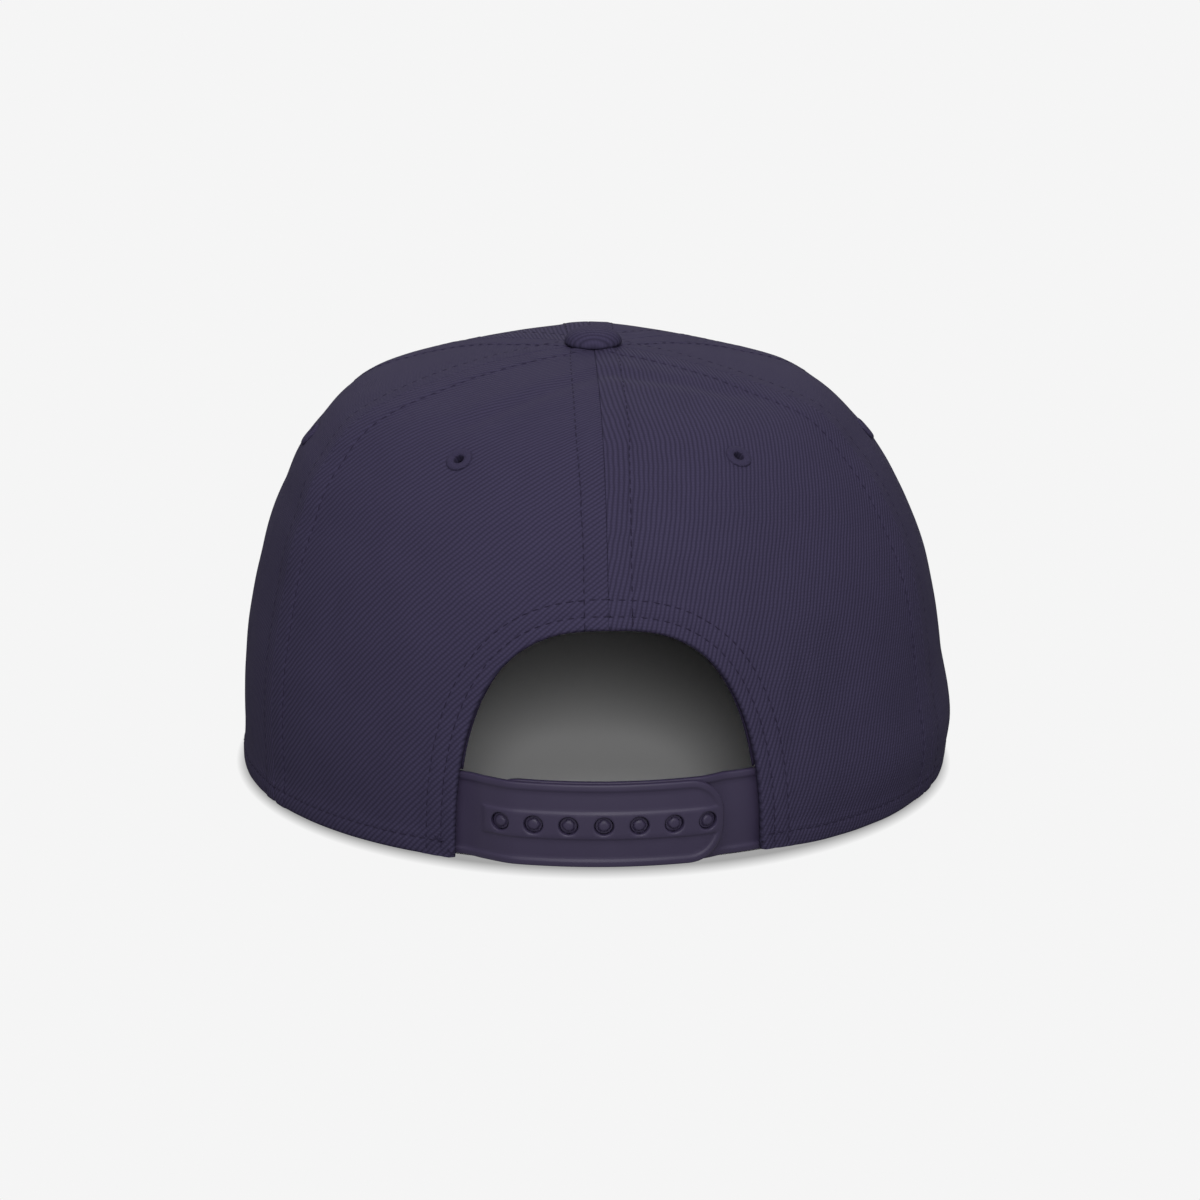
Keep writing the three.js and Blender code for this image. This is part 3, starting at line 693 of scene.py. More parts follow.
@functools.lru_cache(maxsize=None)
def panel_outline(side, index):
    """The panel's flat outline: rim, seams, top and eyelet hole, and the arch at the back."""
    chart = panel_chart(side, index)
    top_rise = math.acos(APEX_HOLE_RADIUS / CROWN_HALF_WIDTH)
    turns = rim_turns(side, index, chart)
    rim = chart.flat(turns, rise_at_height(turns, rim_height(turns)))
    ends = turns[[0, -1]]
    low_left, low_right = rise_at_height(ends, rim_height(ends))
    edges = {"rim": rim}
    arch_left, arch_right = index == 0 and side < 0, index == 0 and side > 0
    if arch_right:
        arch, low_right = arch_edge(side, chart, turns[-1])
        arch[0] = rim[-1]
        edges["arch"] = arch
    if arch_left:
        arch, low_left = arch_edge(side, chart, turns[0])
        arch[0] = rim[0]
    edges["right_seam"] = seam_edge(chart, 1, low_right, top_rise)
    top_left, top_right = inset_ends(chart, np.array(top_rise))
    edges["top"] = chart.flat(np.linspace(top_right, top_left, 12), np.full(12, top_rise))
    edges["left_seam"] = seam_edge(chart, 0, low_left, top_rise)[::-1]
    if arch_left:
        edges["arch"] = arch[::-1]
    return Outline(edges, PANEL_SPACING, [eyelet_hole(side, index, chart)])


def fades(distance, start, width):
    """1 up to a distance and 0 beyond it, eased over a width."""
    return 1 - eased((distance - start) / width)


def rounding(distance, radius):
    """How far a rolled edge falls away, by distance from the edge."""
    short = np.clip(1 - distance / radius, 0, 1)
    return radius * (1 - np.sqrt(1 - short * short))


def pucker(run, seed):
    """Unevenness along a row of stitches, one short wave for each stitch and a slow one."""
    short = np.sin(run * 2 * math.pi / STITCH_PITCH + seed)
    slow = np.sin(run * 0.61 + seed * 2.3) + 0.7 * np.sin(run * 0.97 + seed * 5.1)
    return 0.45 * short + 0.4 * slow


def row_relief(distance, run, place, seed):
    """The dimple that a row of stitches draws into the cloth, and the puckers beside it."""
    dimple = ROW_DIMPLE * bell(distance - place, ROW_WIDTH)
    return PUCKER_RAISE * pucker(run, seed) * bell(distance - place, PUCKER_WIDTH) - dimple


def panel_relief(side, index, flat):
    """How far the outer face stands proud of the plain crown, and how far the wall narrows at its edges."""
    outline = panel_outline(side, index)
    raised = np.zeros(len(flat))
    narrowed = np.zeros(len(flat))
    for name, curve in outline.edges.items():
        distance, run = nearest_on(flat, curve)
        seed = side * 1.7 + index * 2.9 + len(name)
        if name in ("left_seam", "right_seam"):
            raised += ALLOWANCE_RAISE * fades(distance, SEAM_ROW - ALLOWANCE_MARGIN, ALLOWANCE_EASE)
            raised -= rounding(distance, SEAM_ROUNDING)
            raised += row_relief(distance, run, SEAM_ROW, seed)
        if name == "rim":
            raised = np.maximum(raised, HEM_RAISE * fades(distance, RIM_ROW + HEM_MARGIN, HEM_EASE))
            raised += row_relief(distance, run, RIM_ROW, seed) - rounding(distance, EDGE_ROUNDING)
            narrowed = np.maximum(narrowed, rounding(distance, EDGE_ROUNDING))
        if name == "arch":
            raised = np.maximum(raised, HEM_RAISE * fades(distance, ARCH_ROWS[1] + HEM_MARGIN, HEM_EASE))
            raised -= rounding(distance, EDGE_ROUNDING)
            narrowed = np.maximum(narrowed, rounding(distance, EDGE_ROUNDING))
            for place in ARCH_ROWS:
                raised += row_relief(distance, run, place, seed + place)
    for hole in outline.holes:
        distance, _ = nearest_on(flat, hole)
        raised -= EYELET_DENT * fades(distance, 0, EYELET_DENT_WIDTH)
    return raised, narrowed


def crease_relief(points):
    """How far the creases draw the cloth in, and the low swell beside each."""
    relief = np.zeros(len(points))
    for crease in CREASES:
        turns, shares = np.radians(crease["places"]).T[0], np.array(crease["places"])[:, 1]
        line = spaced(crown_point(turns, rise_at_height(turns, shares * CROWN_HEIGHT)), 2.0)
        near = np.linalg.norm(points[:, None] - line, axis=-1).min(1)
        ends = np.minimum(*(np.linalg.norm(points - line[end], axis=-1) for end in (0, -1)))
        fade = eased(ends / (4 * crease["width"]))
        swell = CREASE_SWELL["share"] * bell(near, CREASE_SWELL["width"] * crease["width"])
        relief -= crease["depth"] * fade * (bell(near, crease["width"]) - swell)
    return relief


def panel_faces(side, index, flat):
    """Outer and inner points of a panel's wall."""
    turn, rise = panel_chart(side, index).place(flat)
    plain = crown_point(turn, rise)
    normal = crown_normal(turn, rise)
    raised, narrowed = panel_relief(side, index, flat)
    ripple = sum(ripple["lift"] * noise_at(plain, ripple["size"]) for ripple in RIPPLES)
    outer = plain + normal * (raised + ripple + crease_relief(plain))[:, None]
    inner = plain - normal * (CLOTH_THICKNESS - narrowed)[:, None]
    return outer, inner, normal


PANEL_RINGS = {
    "rim": (0.22, 0.5, 0.85, 1.4, 2.2, 3.0, 3.6, 4.0, 4.4, 5.0, 5.8),
    "arch": (0.22, 0.5, 0.85, 1.4, 2.2, 2.8, 3.3, 3.8, 4.6, 5.6, 6.4, 6.9, 7.3, 7.7, 8.3, 9.1),
    "left_seam": (0.08, 0.2, 0.5, 0.9, 1.6, 2.7, 3.8, 4.6, 5.1, 5.5, 5.9, 6.5, 7.4),
    "right_seam": (0.08, 0.2, 0.5, 0.9, 1.6, 2.7, 3.8, 4.6, 5.1, 5.5, 5.9, 6.5, 7.4),
    "hole": (0.4, 0.9, 1.6, 2.4),
}


def crown_panel(side_name, side, index):
    place = EYELET_PLACES[index]["name"]
    flat, faces = panel_outline(side, index).fill(PANEL_RINGS)
    outer, inner, _ = panel_faces(side, index, flat)
    weave = turned(flat, WALE_SLOPES[side_name, place])
    return wall_object(f"crown_{place}_{side_name}", flat, faces, outer, inner, weave, 60)


# Materials


def add(tree, kind, inputs=None, **settings):
    """A node with its settings made, and its inputs set or linked."""
    made = tree.nodes.new(kind)
    for name, value in settings.items():
        setattr(made, name, value)
    for name, value in (inputs or {}).items():
        socket = made.inputs[name]
        if isinstance(value, bpy.types.NodeSocket):
            tree.links.new(value, socket)
        else:
            socket.default_value = value
    return made


def made_by(tree, kind, inputs=None, **settings):
    """The first output of a new node."""
    return add(tree, kind, inputs, **settings).outputs[0]


def maths(tree, operation, *values):
    return made_by(tree, "ShaderNodeMath", dict(enumerate(values)), operation=operation)


def cosine_wave(tree, phase):
    """A wave between 0 and 1 that repeats with each whole step of its phase."""
    cosine = maths(tree, "COSINE", maths(tree, "MULTIPLY", phase, 2 * math.pi))
    return maths(tree, "MULTIPLY_ADD", cosine, 0.5, 0.5)


def speckle(tree, place, scale, detail):
    return add(tree, "ShaderNodeTexNoise", {"Vector": place, "Scale": scale, "Detail": detail}).outputs["Fac"]


def times(tree, vector, factor):
    return made_by(tree, "ShaderNodeVectorMath", {0: vector, "Scale": factor}, operation="SCALE")


def bumped(tree, height, depth, strength):
    return made_by(tree, "ShaderNodeBump", {"Height": height, "Distance": depth, "Strength": strength})


def close_material(tree, base, rough, normal, specular):
    shader = made_by(tree, "ShaderNodeBsdfPrincipled", {
        "Base Color": base, "Roughness": rough, "Normal": normal, "Specular IOR Level": specular,
    })
    add(tree, "ShaderNodeOutputMaterial", {"Surface": shader})


def group(name, inputs, outputs):
    """An empty shader group with named sockets; inputs are (name, type, default)."""
    tree = bpy.data.node_groups.new(name, "ShaderNodeTree")
    for socket_name, kind, default in inputs:
        socket = tree.interface.new_socket(socket_name, in_out="INPUT", socket_type=kind)
        if default is not None:
            socket.default_value = default
    for socket_name, kind in outputs:
        tree.interface.new_socket(socket_name, in_out="OUTPUT", socket_type=kind)
    return tree, add(tree, "NodeGroupInput"), add(tree, "NodeGroupOutput")


def twill_group():
    """Diagonal twill: fine wales along the first axis of the weave map, each made of short slanted floats."""
    if "twill" in bpy.data.node_groups:
        return bpy.data.node_groups["twill"]
    tree, given, out = group(
        "twill",
        [("Weave", "NodeSocketVector", None), ("Wale pitch", "NodeSocketFloat", 0.85),
         ("Float pitch", "NodeSocketFloat", 0.62), ("Unevenness", "NodeSocketFloat", 0.05)],
        [("Height", "NodeSocketFloat"), ("Shade", "NodeSocketFloat")],
    )
    scaled = times(tree, given.outputs["Weave"], 1 / MM)
    wander = speckle(tree, scaled, 0.16, 2.0)
    parts = add(tree, "ShaderNodeSeparateXYZ", {0: scaled})
    along, across = parts.outputs["X"], parts.outputs["Y"]
    uneven = maths(tree, "MULTIPLY", given.outputs["Unevenness"], 14.0)
    waver = maths(tree, "MULTIPLY", maths(tree, "SUBTRACT", wander, 0.5), uneven)
    phase = maths(tree, "DIVIDE", maths(tree, "ADD", across, waver), given.outputs["Wale pitch"])
    wale = maths(tree, "POWER", cosine_wave(tree, phase), 0.6)
    step = maths(tree, "DIVIDE", along, given.outputs["Float pitch"])
    floats = cosine_wave(tree, maths(tree, "MULTIPLY_ADD", phase, 0.42, step))
    height = maths(tree, "MULTIPLY", wale, maths(tree, "MULTIPLY_ADD", floats, 0.3, 0.7))
    height = maths(tree, "MULTIPLY_ADD", speckle(tree, scaled, 2.6, 3.0), 0.3, height)
    tree.links.new(height, out.inputs["Height"])
    # Shade is painted shade: the colour is darker in the grooves between the wales and lighter on their
    # crowns, with a random speckle.
    tree.links.new(maths(tree, "MINIMUM", height, 1.3), out.inputs["Shade"])
    return tree


def linear(red, green, blue):
    """A colour given as it shows on a screen, 0 to 255, in the light values that a shader takes."""
    return tuple((value / 255) ** 2.2 for value in (red, green, blue))


def new_material(name):
    made = bpy.data.materials.new(name)
    made.use_nodes = True
    made.node_tree.nodes.clear()
    return made, made.node_tree


def cloth_material(name, colour, wale_pitch, depth, roughness=0.9, contrast=0.5):
    """Twill whose colour, relief and roughness follow its weave; its colour carries painted shade, darker in
    the grooves between the wales.
    """
    made, tree = new_material(name)
    weave = add(tree, "ShaderNodeUVMap", uv_map="weave").outputs["UV"]
    twill = add(tree, "ShaderNodeGroup", {}, node_tree=twill_group())
    tree.links.new(weave, twill.inputs["Weave"])
    twill.inputs["Wale pitch"].default_value = wale_pitch
    twill.inputs["Float pitch"].default_value = wale_pitch * 0.75
    place = add(tree, "ShaderNodeTexCoord").outputs["Object"]
    mottle = speckle(tree, place, 70.0, 3.0)
    # Painted shade: the twill's grooves are darkened in the colour; the mottle is the cloth's own uneven
    # tone.
    shade = maths(tree, "MULTIPLY_ADD", twill.outputs["Shade"], contrast, 1 - 0.75 * contrast)
    shade = maths(tree, "MULTIPLY", shade, maths(tree, "MULTIPLY_ADD", mottle, 0.14, 0.93))
    rough = maths(tree, "MULTIPLY_ADD", twill.outputs["Height"], -0.08, roughness)
    bump = bumped(tree, twill.outputs["Height"], depth, 1.0)
    close_material(tree, times(tree, colour, shade), rough, bump, 0.04)
    return made


def thread_material(name, colour):
    """Sewing thread, with painted shade at its ends where each stitch dives into the cloth."""
    made, tree = new_material(name)
    along = add(tree, "ShaderNodeAttribute", attribute_name="along").outputs["Fac"]
    bow = maths(tree, "SINE", maths(tree, "MULTIPLY", along, math.pi))
    # Painted shade at both ends of each stitch; the fleck is the thread's own uneven tone.
    shade = made_by(tree, "ShaderNodeMapRange", {
        "Value": bow, "From Min": 0.1, "From Max": 0.7, "To Min": 0.25, "To Max": 1.0,
    })
    place = add(tree, "ShaderNodeTexCoord").outputs["Object"]
    fleck = speckle(tree, place, 2500.0, 2.0)
    lit = maths(tree, "MULTIPLY", shade, maths(tree, "MULTIPLY_ADD", fleck, 0.4, 0.8))
    close_material(tree, times(tree, colour, lit), 0.85, bumped(tree, fleck, 0.00006, 0.6), 0.06)
    return made


def plastic_material(name, colour):
    """Moulded plastic with a fine matte grain."""
    made, tree = new_material(name)
    place = add(tree, "ShaderNodeTexCoord").outputs["Object"]
    grain = speckle(tree, place, 2200.0, 2.0)
    cloud = speckle(tree, place, 120.0, 3.0)
    lit = maths(tree, "MULTIPLY_ADD", cloud, 0.12, 0.94)
    rough = maths(tree, "MULTIPLY_ADD", cloud, 0.14, 0.44)
    close_material(tree, times(tree, colour, lit), rough, bumped(tree, grain, 0.00003, 0.5), 0.3)
    return made


def finish_piece(piece, material, slot, *nodes):
    """Gives a piece its material and its body, and hides the nodes that it stands for; the slot is not used.
    """
    piece.data.materials.clear()
    piece.data.materials.append(material)
    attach(piece, "root")
    if nodes:
        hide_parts(*nodes)


# Strap, sweatband, tape and visor


@functools.lru_cache(maxsize=None)
def strap_runs():
    """Turns round the back, and the distance along the strap's line at each, positive toward the left."""
    turns = np.radians(np.linspace(-80, 80, 641))
    line = level_layer(turns, STRAP_MIDDLE, LINING_DEPTH)
    runs = np.concatenate([[0], np.cumsum(np.linalg.norm(np.diff(line, axis=0), axis=1))])
    return turns, runs - np.interp(0, turns, runs)


def turn_at_distance(distance):
    turns, runs = strap_runs()
    return np.interp(distance, runs, turns)


def leg_distance(side):
    across = ARCH_HALF_WIDTH * (1 - (STRAP_MIDDLE / ARCH_HEIGHT) ** ARCH_FULLNESS) ** (1 / ARCH_FULLNESS)
    turn = back_turn_at(np.array(side * across), np.array(STRAP_MIDDLE))
    turns, runs = strap_runs()
    return abs(float(np.interp(turn, turns, runs)))


def strap_ends(side):
    """How far a band reaches behind its own leg, and where its tip lies, measured toward its own side."""
    return leg_distance(side) + STRAP_TUCK, side * SNAP_ROW_CENTRE - SNAP_ROW_HALF - SNAP_END_MARGIN


def overlap_share(side, distance):
    other_tip = -strap_ends(-side)[1]
    return eased((other_tip + LAYER_EASE - distance) / LAYER_EASE)


def bow_at(distance):
    """How far the strap bows out between the legs of the opening."""
    return STRAP_BOW * eased((STRAP_BOW_REACH - np.abs(distance)) / STRAP_BOW_EASE)


def strap_outline(side):
    """A band laid flat: root edge square, tip corners round, with the snap holes where it lies outside."""
    root, tip = strap_ends(side)
    angles = np.linspace(0, QUARTER, 24)
    corner = np.column_stack([np.sin(angles), np.cos(angles)]) * STRAP_TIP_RADIUS
    low, high = STRAP_FOOT_GAP, STRAP_TOP
    top = np.column_stack([tip + STRAP_TIP_RADIUS - corner[:, 0], high - STRAP_TIP_RADIUS + corner[:, 1]])
    back = corner[::-1]
    foot = np.column_stack([tip + STRAP_TIP_RADIUS - back[:, 0], low + STRAP_TIP_RADIUS - back[:, 1]])
    border = np.concatenate([[(root, high)], top, foot, [(root, low)]])
    end = np.array([(root, low), (root, high)])
    if side > 0:
        border, end = border * (-1, 1), end * (-1, 1)
        border, end = border[::-1], end[::-1]
    holes = []
    if side > 0:
        holes = [((-distance, STRAP_MIDDLE), HOLE_RADIUS, 32) for distance in snap_distances()]
    return Outline({"border": border, "end": end}, 0.8, holes)


def snap_distances():
    return [SNAP_ROW_CENTRE - SNAP_ROW_HALF + snap * SNAP_PITCH for snap in range(SNAP_COUNT)]


def bar_reach(side):
    """How far along a band its raised middle bar reaches, a little past the last snap."""
    return side * SNAP_ROW_CENTRE + SNAP_ROW_HALF + SNAP_END_MARGIN


def with_studs(flat, raised):
    """The inner band's front with its domed studs and the collar round each, inside the other band's hole."""
    head = STRAP_SHIFT * 2 + STUD_RAISE - RIDGE_RAISE
    for place in snap_distances():
        radius = np.hypot(flat[:, 0] + place, flat[:, 1] - STRAP_MIDDLE)
        dome = head - STUD_DOME * (radius / STUD_RADIUS) ** 5
        raised = np.where(radius < COLLAR_RADIUS, head - COLLAR_DROP, raised)
        raised = np.where(radius < STUD_RADIUS * 1.01, dome, raised)
    return raised


def strap_faces(side, flat, outline):
    """Front and back points of a band, with its ridge, bar and rounded edges, and studs on the inner band."""
    toward = -side * flat[:, 0]
    distance, _ = nearest_on(flat, outline.edges["border"])
    ridge = fades(distance, RIDGE_WIDTH - RIDGE_SPILL, RIDGE_EASE)
    bar_up = PLATEAU_HEIGHT / 2 - np.abs(flat[:, 1] - STRAP_MIDDLE)
    bar = 1 - fades(np.minimum(bar_up, bar_reach(side) - toward), -BAR_SPILL, BAR_EASE)
    raised = RIDGE_RAISE * np.maximum(ridge, bar) - rounding(distance, STRAP_ROUNDING)
    for hole in outline.holes:
        raised -= rounding(nearest_on(flat, hole)[0], HOLE_ROUNDING)
    shift = -side * STRAP_SHIFT * overlap_share(side, toward)
    turn = turn_at_distance(-flat[:, 0])
    if side < 0:
        raised = with_studs(flat, raised)
    plain = LINING_DEPTH + RIDGE_RAISE + shift - bow_at(toward)
    front = level_layer(turn, flat[:, 1], plain - raised)
    back = level_layer(turn, flat[:, 1], plain + STRAP_THICKNESS - rounding(distance, STRAP_ROUNDING))
    return front, back


STRAP_RINGS = {"border": (0.1, 0.22, 0.4, 0.8, 1.2, 1.5, 1.8, 2.1), "hole": (0.1, 0.22, 0.4, 0.7)}
STUD_RINGS = (0.45, 0.8, 1.05, 1.25, 1.33, 1.6, 1.88, 1.95)


BAR_SLOPE_STEPS = (-0.45, -0.2, 0.05, 0.3)


def strap_rows(side):
    """Rows of points round the inner band's studs and along the slopes of the middle bar."""
    rows = []
    if side < 0:
        for distance in snap_distances():
            rows += [circle((-distance, STRAP_MIDDLE), radius, 24)[:-1] for radius in STUD_RINGS]
    places = np.linspace(-side * strap_ends(side)[1], -side * bar_reach(side), 100)
    for step in BAR_SLOPE_STEPS:
        for edge in (-1, 1):
            height = STRAP_MIDDLE + edge * (PLATEAU_HEIGHT / 2 - step)
            rows.append(np.column_stack([places, np.full(100, height)]))
    return rows


def strap_band(name, side):
    outline = strap_outline(side)
    flat, faces = outline.fill(STRAP_RINGS, strap_rows(side))
    front, back = strap_faces(side, flat, outline)
    return wall_object(name, flat, faces, front, back, flat, 40)


def sweatband_depth(turn):
    from_back = np.abs(turn_apart(turn, 0))
    foot = float(back_turn_at(np.array(ARCH_HALF_WIDTH), np.array(0.0)))
    behind = eased(1 - (from_back - foot - STRAP_TUCK / CROWN_HALF_WIDTH) / math.radians(SWEATBAND_EASE_TURN))
    return LINING_DEPTH + behind * (STRAP_STACK + PIECE_CLEARANCE)


def strip_outline(width, height, spacing):
    """A plain strip laid flat."""
    corners = np.array([(0, 0), (width, 0), (width, height), (0, height), (0, 0)], float)
    names = ("foot", "right", "head", "left")
    return Outline({name: corners[i:i + 2] for i, name in enumerate(names)}, spacing)


BAND_RINGS = (0.25, 0.6, 1.2)


def sweatband():
    start = float(back_turn_at(np.array(ARCH_HALF_WIDTH + SWEATBAND_SETBACK), np.array(0.0)))
    length = 2 * (math.pi - start) * CROWN_HALF_WIDTH * SWEATBAND_LENGTH_SHARE
    outline = strip_outline(length, SWEATBAND_HEIGHT, 2.2)
    flat, faces = outline.fill({name: BAND_RINGS for name in outline.edges})
    turn = lerp(2 * math.pi - start, start, flat[:, 0] / length)
    height = rim_height(turn) + SWEATBAND_SETBACK + flat[:, 1]
    edge = rounding(outline.room(flat), 0.5)
    plain = level_layer(turn, height, 0.0)
    soft = 0.25 * noise_at(plain, 16)
    groove = 0.25 * bell(flat[:, 1] - 3, 0.8) + 0.2 * bell(flat[:, 1] - SWEATBAND_HEIGHT + 2.5, 0.8)
    outer = level_layer(turn, height, sweatband_depth(turn) + edge)
    inner = level_layer(turn, height, sweatband_depth(turn) + SWEATBAND_THICKNESS - edge + soft - groove)
    return wall_object("sweatband_cloth", flat, faces, outer, inner, turned(flat, 45), 60)


def arch_tape():
    first = arch_angle(STRAP_TOP + PIECE_CLEARANCE * 2)
    outline = strip_outline(ARCH_TAPE_LENGTH, ARCH_TAPE_WIDTH, 1.4)
    flat, faces = outline.fill({name: BAND_RINGS for name in outline.edges})
    across, height = arch_point(lerp(math.pi - first, first, 1 - flat[:, 0] / ARCH_TAPE_LENGTH))
    normal_x = signed_power(across / ARCH_HALF_WIDTH, ARCH_FULLNESS - 1) / ARCH_HALF_WIDTH
    normal_z = (height / ARCH_HEIGHT) ** (ARCH_FULLNESS - 1) / ARCH_HEIGHT
    reach = flat[:, 1] / np.hypot(normal_x, normal_z)
    across, height = across + normal_x * reach, height + normal_z * reach
    turn = back_turn_at(across, height)
    edge = rounding(outline.room(flat), 0.4)
    outer = level_layer(turn, height, LINING_DEPTH + edge)
    inner = level_layer(turn, height, LINING_DEPTH + ARCH_TAPE_THICKNESS - edge)
    return wall_object("arch_tape_cloth", flat, faces, outer, inner, turned(flat, 0), 60)


def visor_edge():
    """The visor's outer edge in plan, from its right corner round the tip to its left corner."""
    curve = []
    for share in np.linspace(-1, 1, 241):
        side, along = np.sign(share), abs(share)
        corner = crown_point(math.pi - side * math.radians(VISOR_SPREAD), 0)
        tip = crown_point(math.pi, 0)[1] - VISOR_LENGTH
        widest = corner[1] - VISOR_WIDEST_SETBACK
        if along <= VISOR_FRONT_SHARE:
            angle = QUARTER * along / VISOR_FRONT_SHARE
            power = 2 / VISOR_TIP_SQUARENESS
            curve.append((side * VISOR_HALF_WIDTH * math.sin(angle) ** power,
                          lerp(widest, tip, abs(math.cos(angle)) ** power)))
        else:
            back = (along - VISOR_FRONT_SHARE) / (1 - VISOR_FRONT_SHARE)
            across = lerp(side * VISOR_HALF_WIDTH, corner[0], back * back)
            curve.append((across, lerp(widest, corner[1], back)))
    return np.array(curve)


@functools.lru_cache(maxsize=None)
def visor_outline():
    turns = math.pi - np.linspace(1, -1, 160) * math.radians(VISOR_SPREAD)
    seat = level_layer(turns, rim_height(turns), CLOTH_THICKNESS + VISOR_SEAT)[:, :2]
    edge = visor_edge()
    right = np.array([seat[-1], edge[0]])
    left = np.array([edge[-1], seat[0]])
    return Outline({"edge": edge, "left": left, "seat": seat, "right": right}, 1.6)


def visor_rows():
    return [VISOR_FIRST_ROW + row * VISOR_ROW_PITCH for row in range(VISOR_ROW_COUNT)]


def visor_relief(flat):
    outline = visor_outline()
    distance, run = nearest_on(flat, outline.edges["edge"])
    relief = -rounding(outline.room(flat), VISOR_ROUNDING)
    for row, place in enumerate(visor_rows()):
        relief += row_relief(distance, run, place, row * 1.3)
    return relief


def visor_cover():
    outline = visor_outline()
    rings = [0.3, 0.7, 1.2, 2.0]
    for place in visor_rows():
        rings += [place - 0.6, place, place + 0.6]
    flat, faces = outline.fill({"edge": rings, "seat": (0.3, 0.8), "left": (0.3, 0.8), "right": (0.3, 0.8)})
    relief = visor_relief(flat)
    under = visor_underside(flat[:, 0])
    upper = np.column_stack([flat, under + VISOR_THICKNESS + relief])
    lower = np.column_stack([flat, under - np.minimum(0, relief) * 0.8])
    return wall_object("visor_cloth", flat, faces, upper, lower, turned(flat, 45), 60)


# Button and eyelets


def lathe(name, profile, sides, place, upward, wave=None):
    """A closed shape turned about a line: profile rows are (radius, height) from the bottom to the top."""
    upward = unit(np.asarray(upward, float))
    aside = unit(np.cross((0.0, 1.0, 0.0) if abs(upward[2]) > 0.5 else (0.0, 0.0, 1.0), upward))
    ahead = np.cross(upward, aside)
    angles = np.linspace(0, 2 * math.pi, sides, endpoint=False)
    points, flat = [], []
    for row, (radius, height) in enumerate(profile):
        for angle in angles:
            lift = wave(row, angle) if wave else 0.0
            spot = aside * math.cos(angle) * radius + ahead * math.sin(angle) * radius
            points.append(place + spot + upward * (height + lift))
            flat.append((radius * math.cos(angle), radius * math.sin(angle)))
    faces = []
    for row in range(len(profile) - 1):
        for step in range(sides):
            near, far = row * sides + step, row * sides + (step + 1) % sides
            faces.append((near, far, far + sides, near + sides))
    if profile[0] != profile[-1]:
        faces.append(tuple(range(sides))[::-1])
        faces.append(tuple((len(profile) - 1) * sides + step for step in range(sides)))
    return mesh_object(name, np.array(points), faces, np.array(flat), 55)


def top_button():
    base, foot = PIECE_CLEARANCE, -CLOTH_THICKNESS - SHANK_REACH
    profile = [
        (0.3, foot), (SHANK_RADIUS - 0.2, foot), (SHANK_RADIUS, foot + 0.2), (SHANK_RADIUS, base),
        (4.2, base),
        (BUTTON_RADIUS - 1.2, base), (BUTTON_RADIUS - 0.6, base + 0.06), (BUTTON_RADIUS - 0.2, base + 0.28),
    ]
    for angle in np.linspace(0, QUARTER, 16)[:-1]:
        height = lerp(BUTTON_EDGE, BUTTON_HEIGHT, math.sin(angle))
        profile.append((BUTTON_RADIUS * math.cos(angle) ** 0.8, base + height))
    return lathe("button_cover", profile, 72, np.array([0, 0, CROWN_HEIGHT + APEX_PEAK["lift"]]), (0, 0, 1))


def eyelet_place(side, eyelet):
    turn = side * math.radians(eyelet["turn"])
    rise = rise_at_height(turn, eyelet["height"] * CROWN_HEIGHT)
    return crown_point(turn, rise), crown_normal(turn, rise)


def eyelet_ring(name, side, eyelet):
    """A buttonhole ring: thread wound round and round through the hole."""
    place, normal = eyelet_place(side, eyelet)
    middle, reach = (EYELET_RADIUS + EYELET_HOLE_RADIUS) / 2, (EYELET_RADIUS - EYELET_HOLE_RADIUS) / 2
    profile = [(EYELET_HOLE_RADIUS, -CLOTH_THICKNESS), (EYELET_SLEEVE_RADIUS, -CLOTH_THICKNESS),
               (EYELET_SLEEVE_RADIUS, -0.1)]
    for angle in np.linspace(0, math.pi, 11):
        height = EYELET_RAISE * (0.9 * math.sin(angle) ** 0.7 - 0.25)
        profile.append((middle + reach * math.cos(angle), height))
    profile.append(profile[0])

    def wound(row, angle):
        if row < 3 or row == len(profile) - 1:
            return 0.0
        return 0.07 * abs(math.sin(angle * WINDINGS / 2 + 0.25 * math.sin(3 * angle))) - 0.04

    return lathe(name, profile, WINDINGS * 4, place, normal, wound)


# Stitches


STITCH_SWAY = 0.07
STITCH_DEFAULTS = {"Pitch": 0.0027, "Length": 0.0023, "Thread radius": 0.0002, "Bow": 0.0003, "Dive": 0.0003}


def one_stitch(tree, given):
    """A bowed thread whose two ends dive into the cloth."""
    half = maths(tree, "MULTIPLY", given["Length"], 0.5)
    back = maths(tree, "MULTIPLY", half, -1.0)
    dive = maths(tree, "MULTIPLY", given["Dive"], -1.0)
    bow = maths(tree, "MULTIPLY_ADD", given["Bow"], 2.0, given["Dive"])
    line = made_by(tree, "GeometryNodeCurveQuadraticBezier", {
        "Resolution": 6,
        "Start": made_by(tree, "ShaderNodeCombineXYZ", {"X": back, "Z": dive}),
        "Middle": made_by(tree, "ShaderNodeCombineXYZ", {"Z": bow}),
        "End": made_by(tree, "ShaderNodeCombineXYZ", {"X": half, "Z": dive}),
    })
    factor = add(tree, "GeometryNodeSplineParameter").outputs["Factor"]
    line = made_by(
        tree, "GeometryNodeStoreNamedAttribute", {"Geometry": line, "Name": "along", "Value": factor},
        data_type="FLOAT", domain="POINT",
    )
    section = made_by(
        tree, "GeometryNodeCurvePrimitiveCircle", {"Resolution": 6, "Radius": given["Thread radius"]},
        mode="RADIUS",
    )
    return made_by(tree, "GeometryNodeCurveToMesh", {
        "Curve": line, "Profile Curve": section, "Fill Caps": True,
    })


